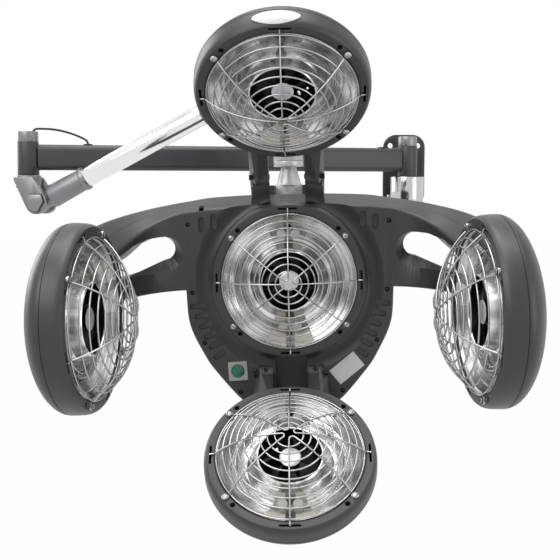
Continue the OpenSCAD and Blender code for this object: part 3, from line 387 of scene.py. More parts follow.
# Bezels: moulded grey rings that frame each head, with a flat front, a slot for each hooked guard wire
# and a sunk hole for each cover screw. One is turned in the head's own frame and copied to all five heads.
def turned(name, outline, steps=128, filled=True):
    """A turned piece: a ring of edges is extruded along the outline, point by point, round the Z axis."""
    radius, height = outline[0]
    bpy.ops.mesh.primitive_circle_add(vertices=steps, radius=radius * mm, fill_type="NOTHING",
                                      location=(0, 0, 0))
    piece = bpy.context.object
    piece.name = piece.data.name = name
    bpy.ops.object.mode_set(mode="EDIT")
    bpy.ops.mesh.select_all(action="SELECT")
    bpy.ops.transform.translate(value=(0, 0, height * mm))
    for next_radius, next_height in outline[1:]:
        bpy.ops.mesh.extrude_edges_move(TRANSFORM_OT_translate={"value": (0, 0, 0)})
        share = next_radius / radius
        bpy.ops.transform.resize(value=(share, share, 1), center_override=(0, 0, height * mm))
        bpy.ops.transform.translate(value=(0, 0, (next_height - height) * mm))
        radius, height = next_radius, next_height
    bpy.ops.mesh.select_all(action="SELECT")
    bpy.ops.mesh.remove_doubles(threshold=0.000002)
    if filled:
        bpy.ops.mesh.fill_holes(sides=0)
    bpy.ops.mesh.select_all(action="SELECT")
    bpy.ops.mesh.normals_make_consistent(inside=False)
    bpy.ops.object.mode_set(mode="OBJECT")
    return piece


def capsule(length, radius, at=(0, 0), slant=0.0, steps=8):
    """Outline of a round-ended slot, turned by the slant and placed."""
    points = []
    for end in (1, -1):
        for i in range(steps + 1):
            a = math.radians(180 * i / steps - 90 * end)
            points.append((end * (length / 2 - radius) + radius * math.cos(a), radius * math.sin(a)))
    c, s = math.cos(math.radians(slant)), math.sin(math.radians(slant))
    return [(at[0] + c * x - s * y, at[1] + s * x + c * y) for x, y in points]


def carved(piece, tools, how="DIFFERENCE"):
    """Cuts the tools out of a piece, or adds them, and removes them. The tools don't touch each other."""
    tool = joined(tools)
    only(piece)
    step = piece.modifiers.new("carve", "BOOLEAN")
    step.object, step.operation, step.solver = tool, how, "EXACT"
    bpy.ops.object.modifier_apply(modifier=step.name)
    bpy.data.objects.remove(tool)
    return piece


FRONT_Y, REAR_Y = 21, 61
TOP_HINGE, BOTTOM_HINGE, SIDE_HINGE = (6, 128), (2, -115), (215, -100)
TOP_REACH, BOTTOM_REACH, SIDE_REACH = 150.5, 142.5, 113.5
TOP_SETBACK, BOTTOM_SETBACK, SIDE_SETBACK = 23.3, 37.4, 37.6
hub_place = (shift(-189.354, -260.856, 131.879) @ turn(-10.3, "Z") @ turn(-1.3, "Y") @ shift(0, 0, -273)
             @ turn(8.6, "Z") @ shift(0, -125, 0))


def side_place(side):
    hinge = hub_place @ shift(side * SIDE_HINGE[0], SIDE_HINGE[1], -14)
    return hinge @ turn(-side * 83, "Z") @ turn(90, "X") @ shift(side * SIDE_REACH, 0, SIDE_SETBACK)


head_places = {
    "centre": hub_place @ turn(90, "X"),
    "top": hub_place @ shift(0, *TOP_HINGE) @ turn(137, "X") @ shift(0, TOP_REACH, TOP_SETBACK),
    "bottom": hub_place @ shift(0, *BOTTOM_HINGE) @ turn(41, "X") @ shift(0, -BOTTOM_REACH, BOTTOM_SETBACK),
    "left": side_place(-1), "right": side_place(1)}
head_spins = {"left": -70, "right": 70}


def in_heads(pattern, kind, made, slot=None, heads=tuple(head_places), rotor=False, detail=""):
    """Copies a piece drawn in the head's own frame to the heads, and keeps those coordinates as an attribute.
    A detail rides along with the piece that stands for the CAD node."""
    own = pattern.data.attributes.new("head_place", "FLOAT_VECTOR", "POINT")
    for row, point in zip(own.data, pattern.data.vertices):
        row.vector = point.co
    copies = []
    for head in heads:
        piece = copied(pattern, f"{head}_{detail or kind}_piece")
        moved(piece, head_places[head] @ turn(head_spins.get(head, 0), "Z"))
        body = f"{head}_rotor" if rotor else "hub" if head == "centre" else f"{head}_head"
        node = f"{head}_{kind}" if kind != "screws" or head != "centre" else "hub_screws"
        in_dress(piece, body, made, slot or slot_of[node], *([] if detail else [node]))
        copies.append(piece)
    bpy.data.objects.remove(pattern)
    return copies


HEAD_R, FRONT_R, OPENING_R, SCREW_R, BEZEL_D = 97.5, 94.5, 83, 88.5, 21
eyelet_angles, cover_screw_angles = (38, 142, 218, 322), (46, 134, 226, 314)
charcoal = finish_of("charcoal_moulding", (0.028, 0.029, 0.0305), 0.40, grain=1400, depth=0.00004, dust=0.12)


def polar(radius, degrees):
    return radius * math.cos(math.radians(degrees)), radius * math.sin(math.radians(degrees))


bezel = turned("bezel_pattern", [
    (HEAD_R - 0.4, -BEZEL_D), (HEAD_R, -20.6), (HEAD_R - 0.2, -14), (HEAD_R - 0.6, -8), (HEAD_R - 1.3, -4.4),
    (HEAD_R - 2.3, -2.2), (HEAD_R - 3.6, -0.8), (FRONT_R - 1, -0.15), (FRONT_R - 3, 0), (OPENING_R + 2.6, 0),
    (OPENING_R + 1.4, -0.2), (OPENING_R + 0.5, -0.8), (OPENING_R, -2), (OPENING_R, -6), (OPENING_R + 1.8, -6),
    (OPENING_R + 2.6, -2.6), (FRONT_R - 1, -2.6), (HEAD_R - 3.8, -5), (HEAD_R - 2.6, -9),
    (HEAD_R - 2.6, -BEZEL_D), (HEAD_R - 0.4, -BEZEL_D)], filled=False)
bosses = [prism("boss", round_outline(4.2, polar(SCREW_R, a)), -BEZEL_D, -1.5) for a in cover_screw_angles]
bosses += [prism("boss", round_outline(3.5, polar(SCREW_R, a)), -10, -1.5) for a in eyelet_angles]
carved(bezel, bosses, "UNION")
tools = [prism("hole", round_outline(3.0, polar(SCREW_R, a)), -12, 3) for a in cover_screw_angles]
tools += [prism("shank_hole", round_outline(1.6, polar(SCREW_R, a)), -12, 3) for a in eyelet_angles]
tools += [prism("hook_slot", capsule(24, 1.3, polar(89, a), a + 90), -12, 3) for a in (0, 90, 180, 270)]
carved(bezel, tools)
rounded(bezel, 0.25, 2, 50)
in_heads(bezel, "bezel", charcoal)

# Reflectors: thin spun aluminium troughs with stepped facets, folded seams at the diagonals and an inner
# duct round the fan, painted black as painted shade. The facets beside the lamp ends are coated a matt cream,
# and the rest is polished, with painted reflections streaked into its colour.
def walled(piece, thickness, looks):
    """Gives a turned sheet its thickness behind the side that looks that way."""
    only(piece)
    faces_on = sum((Vector(face.normal) * face.area for face in piece.data.polygons), Vector())
    if faces_on.dot(Vector(looks)) < 0:
        bpy.ops.object.mode_set(mode="EDIT")
        bpy.ops.mesh.select_all(action="SELECT")
        bpy.ops.mesh.flip_normals()
        bpy.ops.object.mode_set(mode="OBJECT")
    step = piece.modifiers.new("wall", "SOLIDIFY")
    step.thickness, step.offset, step.use_even_offset = thickness * mm, -1, True
    bpy.ops.object.modifier_apply(modifier=step.name)
    return piece


DUCT_R, TROUGH_IN_R, BRIGHT_IN_R, BRIGHT_OUT_R, TROUGH_OUT_R = 35.35, 41.2, 57.8, 66.4, 80.5
STRIP_HALF_W = 5.5


def mirror_finish():
    """Polished sheet with painted reflections as soft light and dark streaks round the ring, a cream coat by
    the lamp ends, grey strips and a duct painted black as painted shade.
    """
    made = finish_of("spun_mirror_sheet", (0.62, 0.62, 0.61), 0.2, metallic=1, grain=200, depth=0, mottle=0.1)
    nodes, links = made.node_tree.nodes, made.node_tree.links
    shader = nodes["Principled BSDF"]
    place = nodes.new("ShaderNodeAttribute")
    place.attribute_name = "head_place"
    split = nodes.new("ShaderNodeSeparateXYZ")
    links.new(place.outputs["Vector"], split.inputs[0])
    maths = calculator(made.node_tree)
    x, y = split.outputs["X"], split.outputs["Y"]
    side, up = maths("ABSOLUTE", x), maths("ABSOLUTE", y)
    radius = maths("SQRT", maths("ADD", maths("MULTIPLY", x, x), maths("MULTIPLY", y, y)))
    ring = nodes.new("ShaderNodeCombineXYZ")
    links.new(maths("DIVIDE", x, radius), ring.inputs["X"])
    links.new(maths("DIVIDE", y, radius), ring.inputs["Y"])
    links.new(maths("MULTIPLY", radius, 16), ring.inputs["Z"])
    # Painted reflection: slow noise round the ring swings the polished colour between dark and light streaks,
    # baked in as reflections; fine spun lines along the radius are added to it.
    painted_reflection_streak = nodes.new("ShaderNodeTexNoise")
    painted_reflection_streak.inputs["Scale"].default_value, painted_reflection_streak.inputs["Detail"].default_value = 2.4, 1.5
    links.new(ring.outputs[0], painted_reflection_streak.inputs["Vector"])
    tone = nodes.new("ShaderNodeValToRGB")
    tone.color_ramp.elements[0].position, tone.color_ramp.elements[0].color = 0.36, (0.42, 0.42, 0.415, 1)
    tone.color_ramp.elements[1].position, tone.color_ramp.elements[1].color = 0.62, (0.86, 0.86, 0.85, 1)
    lines = nodes.new("ShaderNodeTexNoise")
    lines.noise_dimensions = "1D"
    lines.inputs["Scale"].default_value, lines.inputs["Detail"].default_value = 420, 1
    links.new(radius, lines.inputs["W"])
    fine = maths("MULTIPLY", maths("SUBTRACT", lines.outputs["Fac"], 0.5), 0.35)
    links.new(maths("ADD", painted_reflection_streak.outputs["Fac"], fine), tone.inputs["Fac"])
    wide = maths("MULTIPLY", maths("GREATER_THAN", side, STRIP_HALF_W * mm),
                 maths("LESS_THAN", side, maths("MULTIPLY", up, 0.4)))
    wide = maths("MULTIPLY", wide, maths("MULTIPLY", maths("GREATER_THAN", radius, TROUGH_IN_R * mm),
                                         maths("LESS_THAN", radius, TROUGH_OUT_R * mm)))
    bright = maths("MULTIPLY", maths("GREATER_THAN", radius, BRIGHT_IN_R * mm),
                   maths("LESS_THAN", radius, BRIGHT_OUT_R * mm))
    above = maths("MULTIPLY", maths("GREATER_THAN", y, 0.0), maths("SUBTRACT", 1.0, bright))
    coat = maths("MULTIPLY", wide, maths("SUBTRACT", 1.0, maths("MULTIPLY", above, 0.75)))
    strip = maths("MULTIPLY", maths("LESS_THAN", side, STRIP_HALF_W * mm),
                  maths("GREATER_THAN", radius, TROUGH_IN_R * mm))
    colour = nodes.new("ShaderNodeMix")
    colour.data_type = "RGBA"
    colour.inputs["B"].default_value = (0.66, 0.64, 0.58, 1)
    links.new(coat, colour.inputs["Factor"])
    links.new(tone.outputs["Color"], colour.inputs["A"])
    grey = nodes.new("ShaderNodeMix")
    grey.data_type = "RGBA"
    grey.inputs["B"].default_value = (0.26, 0.26, 0.255, 1)
    links.new(strip, grey.inputs["Factor"])
    links.new(colour.outputs["Result"], grey.inputs["A"])
    # Painted shade: inside the duct's radius the sheet is painted near black and not metallic, for the shade
    # deep in the fan hole.
    duct_painted_shade = maths("LESS_THAN", radius, DUCT_R * mm)
    dark = nodes.new("ShaderNodeMix")
    dark.data_type = "RGBA"
    dark.inputs["B"].default_value = (0.004, 0.004, 0.004, 1)
    links.new(duct_painted_shade, dark.inputs["Factor"])
    links.new(grey.outputs["Result"], dark.inputs["A"])
    links.new(dark.outputs["Result"], shader.inputs["Base Color"])
    unpolished = maths("MAXIMUM", maths("MULTIPLY", coat, 0.95), duct_painted_shade)
    links.new(maths("SUBTRACT", 1.0, unpolished), shader.inputs["Metallic"])
    rougher = maths("ADD", maths("MULTIPLY", coat, 0.33), maths("MULTIPLY", strip, 0.15))
    links.new(maths("ADD", 0.22, rougher), shader.inputs["Roughness"])
    return made


sheet_front = [(81.7, -2.0), (81.2, -5), (74.6, -9.6), (74.2, -11.4), (66.6, -16.6), (66.2, -18.4),
               (58.0, -22.6), (57.4, -24.4), (49.4, -25.4), (48.6, -24.2), (43.0, -16.6), (41.2, -14.8),
               (38.6, -5.4), (37.8, -2.6), (36.8, -1.6), (35.8, -1.9), (35.2, -3.4), (35.0, -34)]
reflector = walled(turned("reflector_pattern", sheet_front, filled=False), 0.4, (0, 0, 1))
LAMP_R, lamp_end_angles = 58, (81.5, 98.5, 261.5, 278.5)
tools = [prism("lamp_hole", round_outline(6.2, polar(LAMP_R, a)), -34, -12) for a in lamp_end_angles]
for r, place in ((2.5, (0, -67)), (3, (0.8, 67))):
    tools.append(prism("rivet_hole", round_outline(r, place), -34, -8))
carved(reflector, tools)
smooth_to(18)
ribs = []
for a in (48, 124, 228, 310):
    fold = [(r, z + 0.45) for r, z in sheet_front[1:11]] + [(r, z - 0.2) for r, z in sheet_front[10:0:-1]]
    for aside in (-1.7, 1.7):
        rib = moved(prism("fold", fold, -0.45, 0.45), turn(a, "Z") @ shift(0, aside, 0) @ turn(90, "X"))
        ribs.append(rib)
reflector = joined([reflector] + ribs)
mirror_sheet = mirror_finish()
in_heads(reflector, "reflector", mirror_sheet)

# Lamps: two half rings of clear quartz tube in the trough. Each end is held in a white ceramic cap that
# passes through the sheet.
quartz = bpy.data.materials.new("quartz_tube")
quartz.use_nodes = True
glass = quartz.node_tree.nodes["Principled BSDF"]
glass.inputs["Transmission Weight"].default_value, glass.inputs["IOR"].default_value = 1.0, 1.3
glass.inputs["Roughness"].default_value = 0.04
tubes = []
for start in (-81.5, 98.5):
    bpy.ops.mesh.primitive_circle_add(vertices=20, radius=5 * mm, fill_type="NOTHING",
                                      location=(LAMP_R * mm, 0, -15 * mm), rotation=(math.radians(90), 0, 0))
    tube = bpy.context.object
    bpy.ops.object.transform_apply(location=True, rotation=True, scale=True)
    bpy.ops.object.mode_set(mode="EDIT")
    bpy.ops.mesh.select_all(action="SELECT")
    bpy.ops.mesh.spin(steps=72, angle=math.radians(163), center=(0, 0, 0), axis=(0, 0, 1))
    bpy.ops.mesh.select_all(action="SELECT")
    bpy.ops.mesh.normals_make_consistent(inside=False)
    bpy.ops.object.mode_set(mode="OBJECT")
    span = [math.degrees(math.atan2(p.co.y, p.co.x)) for p in tube.data.vertices]
    moved(tube, turn(start if max(span) > 90 else start + 163, "Z"))
    step = tube.modifiers.new("wall", "SOLIDIFY")
    step.thickness, step.offset = 1 * mm, -1
    bpy.ops.object.modifier_apply(modifier=step.name)
    bpy.ops.object.shade_smooth()
    tubes.append(tube)
in_heads(joined(tubes), "lamp", quartz)
ceramic = finish_of("lamp_ceramic", (0.50, 0.49, 0.46), 0.4, grain=1500, depth=0.00003)
caps = []
for a in lamp_end_angles:
    cap = turned("lamp_cap", [(5.4, -37), (6.0, -36.4), (6.0, -10.4), (5.6, -9.2), (4.6, -8.6), (0, -8.5)],
                 steps=32)
    caps.append(moved(cap, shift(*polar(LAMP_R, a), 0)))
caps = joined(caps)
smooth_to(40)
in_heads(caps, "lamp", ceramic, slot="switch_plastic", detail="lamp_caps")

# Fans: seven swept blades moulded in gloss black with their boss, which is pushed on the motor shaft.
# A pressed silver cap closes the boss at the front.
fan_black = finish_of("fan_gloss_black", (0.002, 0.002, 0.002), 0.28, grain=900, depth=0.00001,
                      Specular_IOR_Level=0.2)
boss = turned("boss", [(2.2, -20), (12.0, -20), (12.3, -19.6), (12.3, -7.5), (11.8, -7.1), (2.2, -7.1),
                       (2.2, -20)], steps=64, filled=False)
bpy.ops.mesh.primitive_grid_add(x_subdivisions=14, y_subdivisions=10, size=1, location=(0, 0, 0))
blade = bpy.context.object
for point in blade.data.vertices:
    along, across = point.co.x + 0.5, point.co.y
    r = 11.4 + along * 20.8
    reach = (13 + 9 * along) * (1 - 0.25 * max(0, along - 0.8) * 5 * abs(across) * 2)
    a = math.radians(24) * along * along + across * reach / r
    point.co = (r * math.cos(a) * mm, r * math.sin(a) * mm,
                (-13.6 + across * 10.5 * (1 - 0.3 * along) + 1.3 * (1 - 4 * across * across)) * mm)
faced_out(blade)
step = blade.modifiers.new("wall", "SOLIDIFY")
step.thickness, step.offset = 1.2 * mm, 0
bpy.ops.object.modifier_apply(modifier=step.name)
blades = [blade]
for i in range(1, 7):
    blades.append(moved(copied(blade, "blade"), turn(i * 360 / 7, "Z")))
fan = joined([boss] + blades)
smooth_to(40)
in_heads(fan, "fan", fan_black, rotor=True)
cap_foil = finish_of("fan_cap_foil", (0.62, 0.63, 0.65), 0.3, metallic=0.6, grain=400, depth=0.00006,
                     mottle=0.5)
cap = turned("fan_cap", [(12.1, -7.0), (12.2, -6.4), (11.4, -5.9), (8, -5.6), (4, -5.5), (0, -5.45)],
             steps=64)
smooth_to(40)
in_heads(cap, "fan", cap_foil, slot="polished_tube", rotor=True, detail="fan_cap")

# Motors: plain steel cans behind the fans, each on a three-armed mount. Their steel is painted near black,
# as painted shade for the shadow of the duct they sit in.
motor_steel = finish_of("motor_steel", (0.02, 0.02, 0.021), 0.5, metallic=1, grain=1200, depth=0.00002)
for head in head_places:
    in_dress(welded_copy(f"{head}_motor", 0.6), "hub" if head == "centre" else f"{head}_head", motor_steel,
             slot_of[f"{head}_motor"], f"{head}_motor")

# Guards: bright wire rings welded to four bent wires. Two screws hold each through its eyelets, and the bent
# ends hook into the bezel's slots. The CAD wires are kept and shaded round.
chrome_wire = finish_of("bright_chrome_wire", (0.43, 0.43, 0.435), 0.2, metallic=1, grain=3000,
                        depth=0.000003, mottle=0.06, spread=0.05)
for head in head_places:
    guard = welded_copy(f"{head}_guard", 0)
    smooth_to(50)
    in_dress(guard, "hub" if head == "centre" else f"{head}_head", chrome_wire, slot_of[f"{head}_guard"],
             f"{head}_guard")

# Guard screws: zinc pan heads with a cross recess, over the eyelets. The hinge pins are blackened,
# and the two necks' pins lie flush in their posts.
dark_steel = finish_of("blackened_steel", (0.007, 0.007, 0.0075), 0.45, metallic=0.3, grain=1500,
                       depth=0.00001)
pan_outline = [(3.75, 1.72), (3.8, 2.3), (3.5, 3.0), (2.8, 3.6), (1.6, 3.95), (0, 4.05)]
cross = [(-1.7, -0.3), (-0.3, -0.3), (-0.3, -1.7), (0.3, -1.7), (0.3, -0.3), (1.7, -0.3),
         (1.7, 0.3), (0.3, 0.3), (0.3, 1.7), (-0.3, 1.7), (-0.3, 0.3), (-1.7, 0.3)]
pans = []
for a in eyelet_angles:
    pan = turned("pan_head", pan_outline, steps=40)
    carved(pan, [prism("cross", cross, 3.1, 5)])
    pans.append(moved(pan, shift(*polar(SCREW_R, a), 0) @ turn(a + 20, "Z")))
pans = joined(pans)
smooth_to(40)
in_heads(pans, "screws", steel, slot="steel", detail="guard_screws")
POST_IN, POST_OUT = 22, 46
screw_nodes = {f"{head}_screws": f"{head}_head" for head in head_places if head != "centre"}
screw_nodes = {"hub_screws": "hub", **screw_nodes}
for node, body in screw_nodes.items():
    piece = welded_copy(node, 0.25)
    if node in ("top_screws", "bottom_screws"):
        for point in piece.data.vertices:
            place = hub_place.inverted() @ point.co
            place.x = max(-(POST_OUT + 0.2) * mm, min((POST_OUT + 0.2) * mm, place.x))
            point.co = hub_place @ place
    in_dress(piece, body, dark_steel, slot_of[node], node)

# Rear shells: charcoal mouldings, domed at the back, with a ring of intake slots. The top and bottom ones
# grow into a neck of two hinge posts with a web between them, and the side ones into one hinge leaf.
side_view = Matrix(((0, 0, 1, 0), (1, 0, 0, 0), (0, 1, 0, 0), (0, 0, 0, 1)))
DOME_DEPTH, WALL, PIN_BORE_R, KNUCKLE_GAP_R = 36.7, 2.6, 3.15, 11.6


def half_ellipse(radius, depth, start):
    """Outline of a dome from its rim to the middle of its back."""
    sweep = [math.radians(a) for a in range(0, 86, 5)]
    rim = [(radius * math.cos(a), start - depth * math.sin(a)) for a in sweep]
    return rim + [(0, start - depth)]


def post_outline(hinge, foot, half=8.5, barrel=11, steps=30):
    """Side view of a hinge post: a round barrel at the hinge and a flat bar from it to the foot."""
    hinge, foot = Vector(hinge), Vector(foot)
    run = (foot - hinge).normalized()
    aside = Vector((-run.y, run.x))
    open_by, way = math.asin(half / barrel), math.atan2(run.y, run.x)
    points = [foot - aside * half, foot + aside * half]
    for i in range(steps + 1):
        a = way + open_by + (2 * math.pi - 2 * open_by) * i / steps
        points.append(hinge + barrel * Vector((math.cos(a), math.sin(a))))
    return [tuple(p) for p in points]


def posts(hinge, foot, front, slope=8):
    """Both hinge posts, one on each side of the middle. Their outer sides lean in towards the front."""
    made = []
    for side in (1, -1):
        post = moved(prism("post", post_outline(hinge, foot), POST_IN * side, POST_OUT * side), side_view)
        for point in post.data.vertices:
            if abs(point.co.x) > 0.045:
                off = Vector((point.co.y, point.co.z)) - Vector(hinge) * mm
                ahead = off.dot(Vector(front).normalized())
                point.co.x -= side * slope * mm * min(1, max(0, 0.5 + ahead / 0.018))
        made.append(faced_out(post))
    return made


def bars(low, high, radius, y, z):
    """A round cutter across each side of a hinge, from low to high millimetres off the middle."""
    return [moved(prism("bar", round_outline(radius, (y, z), 48), low * side, high * side), side_view)
            for side in (1, -1)]


def dome_core():
    """The room inside the dome, cut out of what is joined to the dome from outside."""
    return turned("core", half_ellipse(HEAD_R - 1.4, DOME_DEPTH - 1.4, -BEZEL_D))


dome_outside = half_ellipse(HEAD_R, DOME_DEPTH, -BEZEL_D - 0.3)
dome = walled(turned("dome_pattern", dome_outside, filled=False), WALL, (0, 0, -1))
INTAKE_R, INTAKE_PITCH = 52, 15
intake_slots = [capsule(20, 1.6, polar(INTAKE_R, a + INTAKE_PITCH / 2), a + INTAKE_PITCH / 2)
                for a in range(0, 360, INTAKE_PITCH)]
carved(dome, [prism("intake", slot, -70, -50) for slot in intake_slots])
WEB_END, FILLET_R, WEB_HALF_T = -112, 8, 6
necks = [("top", TOP_REACH, TOP_SETBACK, -35), ("bottom", BOTTOM_REACH, BOTTOM_SETBACK, -38)]
for head, reach, setback, web_mid in necks:
    shell = copied(dome, f"{head}_shell_piece")
    neck = joined(posts((-reach, -setback), (-71.5, -38), (0, 1)))
    fillets = [(22.5 * s + FILLET_R * s * (math.cos(math.radians(t)) - 1),
                WEB_END - FILLET_R + FILLET_R * math.sin(math.radians(t)))
               for s in (-1, 1) for t in (range(0, 91, 15) if s == -1 else range(90, -1, -15))]
    web_outline = [(-24, -66), (-24, WEB_END - FILLET_R)] + fillets + [(24, WEB_END - FILLET_R), (24, -66)]
    web = prism("web", web_outline, web_mid - WEB_HALF_T, web_mid + WEB_HALF_T)
    carved(neck, [web], "UNION")
    carved(neck, [dome_core()])
    carved(neck, bars(20, 34.3, KNUCKLE_GAP_R, -reach, -setback))
    carved(neck, bars(20, 48, PIN_BORE_R, -reach, -setback))
    if head == "bottom":
        moved(neck, turn(180, "Z"))
    carved(shell, [neck], "UNION")
    rounded(shell, 0.7, 2, 50)
    moved(shell, head_places[head])
    in_dress(shell, f"{head}_head", charcoal, slot_of[f"{head}_shell"], f"{head}_shell")
for head, side in (("left", -1), ("right", 1)):
    shell = copied(dome, f"{head}_shell_piece")
    hinge, upright = (-side * SIDE_REACH, SIDE_SETBACK), shift(0, 24, 0) @ turn(-90, "X")
    leaf = moved(prism("leaf", post_outline(hinge, (-side * 77.5, 41)), 0, 20.6), upright)
    carved(leaf, [dome_core()])
    carved(leaf, [moved(prism("pin_hole", round_outline(PIN_BORE_R, hinge, 40), -4, 26), upright)])
    carved(shell, [leaf], "UNION")
    rounded(shell, 0.7, 2, 50)
    moved(shell, head_places[head])
    in_dress(shell, f"{head}_head", charcoal, slot_of[f"{head}_shell"], f"{head}_shell")
bpy.data.objects.remove(dome)

# Hub: a charcoal shield with two wings that sweep forward to the side heads. It is moulded as a front and a
# rear cover, screwed together from the front, with a grip hole through each wing.
def spline(rows, steps):
    """Points of a smooth curve through the rows."""
    before, after = [-rows[1][0], *rows[1][1:]], [2 * b - a for a, b in zip(rows[-2], rows[-1])]
    rows = [before, *rows, after]
    points = []
    for i in range(1, len(rows) - 2):
        for k in range(steps):
            t = k / steps
            points.append([0.5 * (2 * b + (c - a) * t + (2 * a - 5 * b + 4 * c - d) * t * t
                                  + (3 * b - a - 3 * c + d) * t ** 3)
                           for a, b, c, d in zip(rows[i - 1], rows[i], rows[i + 1], rows[i + 2])])
    return points + [rows[-2]]


def bow(points, t):
    return [(1 - t) ** 2 * a + 2 * t * (1 - t) * b + t * t * c for a, b, c in zip(*points)]


def mix(a, b, t):
    return a + (b - a) * t


shield_rows = spline([(0, -165, 92, 108), (40.3, -163, 92, 108), (62.4, -152, 91.5, 107.5),
                      (93, -117, 90.5, 106), (107.9, -95, 89.5, 104.5), (126.1, -55, 87.5, 101.5),
                      (130, -11, 87, 101)], 6)
wing_front = [(130, FRONT_Y), (190, 19), (203.5, SIDE_HINGE[1])]
wing_rear = [(130, REAR_Y), (224, 55), (226.5, SIDE_HINGE[1])]
stations = [((x, FRONT_Y), (x, REAR_Y), low, top, rear_top) for x, low, top, rear_top in shield_rows]
WING_STEPS = 24
for i in range(1, WING_STEPS + 1):
    t = i / WING_STEPS
    top = 87 - 55 * t ** 1.25
    stations.append((bow(wing_front, t), bow(wing_rear, t), mix(-11, -16, t), top, mix(101, 74, t)))


def cover_rings(near, far, near_r, far_r, inset=0.0, count=None):
    """Sections of the hub between two shares of its depth, with rounded front and rear edges."""
    half = []
    rows = stations[:count]
    for i, (front, rear, low, top, rear_top) in enumerate(rows):
        before, after = rows[max(i - 1, 0)], rows[min(i + 1, len(rows) - 1)]
        along = Vector((1, 0))
        if i < len(shield_rows):
            along = Vector((after[0][0] - before[0][0], after[2] - before[2]))
        inward = Vector((-along.y, along.x)).normalized() if i else Vector((0, 1))
        front, rear = Vector(front), Vector(rear)
        depth = (rear - front).length
        ring = []
        for end, edge_r, turn_from in ((near, near_r, 1), (far, far_r, -1)):
            steps = [math.radians(90 * k / 4) for k in range(5)]
            lower = [(end * depth + turn_from * edge_r * (1 - math.sin(a)), edge_r * (1 - math.cos(a)))
                     for a in steps]
            if turn_from == 1:
                corner = [(d, "low", e) for d, e in lower] + [(d, "top", e) for d, e in reversed(lower)]
            else:
                corner = [(d, "top", e) for d, e in lower] + [(d, "low", e) for d, e in reversed(lower)]
            ring += corner
        points = []
        for d, edge, e in ring:
            share = d / depth
            place = front.lerp(rear, share)
            if edge == "low":
                shift_in = inward * (e + inset)
                points.append((place.x + shift_in.x, place.y, low + shift_in.y))
            else:
                points.append((place.x, place.y, mix(top, rear_top, share) - e - inset))
        half.append(points)
    return [[(-x, y, z) for x, y, z in ring] for ring in half[:0:-1]] + half


def lofted(name, rings):
    """A closed body through the rings, made from a grid whose points are moved to them."""
    across, rows = len(rings[0]), len(rings)
    bpy.ops.mesh.primitive_grid_add(x_subdivisions=across, y_subdivisions=rows - 1, size=1,
                                    location=(0, 0, 0))
    piece = bpy.context.object
    piece.name = piece.data.name = name
    for point in piece.data.vertices:
        k, i = round((point.co.x + 0.5) * across), round((point.co.y + 0.5) * (rows - 1))
        point.co = Vector(rings[i][k % across]) * mm
    bpy.ops.object.mode_set(mode="EDIT")
    bpy.ops.mesh.select_all(action="SELECT")
    bpy.ops.mesh.remove_doubles(threshold=0.000002)
    bpy.ops.mesh.fill_holes(sides=0)
    bpy.ops.mesh.select_all(action="SELECT")
    bpy.ops.mesh.normals_make_consistent(inside=False)
    bpy.ops.object.mode_set(mode="OBJECT")
    return piece


front_face = Matrix(((1, 0, 0, 0), (0, 0, -1, 0), (0, 1, 0, 0), (0, 0, 0, 1)))


def through(outline, near, far):
    """A cutter into the hub from the front: the outline is seen from the front, near and far are depths."""
    return moved(prism("cutter", outline, -far, -near), front_face)


LEAF_LOW, LEAF_TOP = 9.6, 31
GRIP_END, GRIP_R = (158, 42), 15


def inner_end(middle, radius):
    """The half circle at a grip hole's inner end, from its top to its bottom."""
    return [(middle[0] + x, middle[1] + y) for x, y in (polar(radius, a) for a in range(90, 271, 10))]


def grip_cutters():
    """Each grip hole: round at the hub, and narrowing along the wing to the gap of the hinge leaf."""
    outline = inner_end(GRIP_END, GRIP_R)
    outline += [(176, 19.1), (190, 13), (204, LEAF_LOW), (240, LEAF_LOW), (240, LEAF_TOP), (204, LEAF_TOP)]
    outline += [(197, 37.5), (186, 48.5), (172, 55.2)]
    return [through([(side * x, z) for x, z in outline], -200, 200) for side in (-1, 1)]


def grip_bevels():
    """The broad bevel round the inner end and the lower edge of each grip hole, cut from the front."""
    face = [(front[0], front[1]) for front, *_ in stations[len(shield_rows) - 1:]]

    def front_at(x):
        for (x0, y0), (x1, y1) in zip(face, face[1:]):
            if x <= x1:
                return mix(y0, y1, max(0, (x - x0) / (x1 - x0)))
        return face[-1][1]

    deep, edge = (GRIP_END, 14.4, 10.4, 13), ((154.5, 35), 22.5, 9.5, -0.5)
    ahead = (*edge[:3], None)
    made = []
    for side in (-1, 1):
        rings = []
        for middle, radius, far_low, depth in (deep, edge, ahead):
            outline = inner_end(middle, radius)
            top, start = outline[0], outline[-1]
            outline += [(mix(start[0], 205, k / 8), mix(start[1], far_low, k / 8)) for k in range(1, 9)]
            outline += [(mix(205, top[0], k / 8), mix(30.5, top[1], k / 8)) for k in range(8)]
            rings.append([(side * x, -220 if depth is None else front_at(x) + depth, z) for x, z in outline])
        made.append(lofted("grip_bevel", rings))
    return made


def hub_pin_bores(radius, low=-20, high=80):
    return [prism("bore", round_outline(radius, (side * SIDE_HINGE[0], SIDE_HINGE[1]), 48), low, high)
            for side in (-1, 1)]


def sealed(piece):
    """Merges the slivers that the cuts leave, and closes what they opened."""
    only(piece)
    bpy.ops.object.mode_set(mode="EDIT")
    bpy.ops.mesh.select_all(action="SELECT")
    bpy.ops.mesh.remove_doubles(threshold=0.00001)
    bpy.ops.mesh.fill_holes(sides=0)
    bpy.ops.mesh.select_all(action="SELECT")
    bpy.ops.mesh.normals_make_consistent(inside=False)
    bpy.ops.object.mode_set(mode="OBJECT")
    return piece


def evened(piece):
    """Large faces set the shading, so that long narrow ones beside a hole leave no streaks."""
    only(piece)
    step = piece.modifiers.new("even", "WEIGHTED_NORMAL")
    step.weight, step.keep_sharp = 60, True
    bpy.ops.object.modifier_apply(modifier=step.name)
    return piece


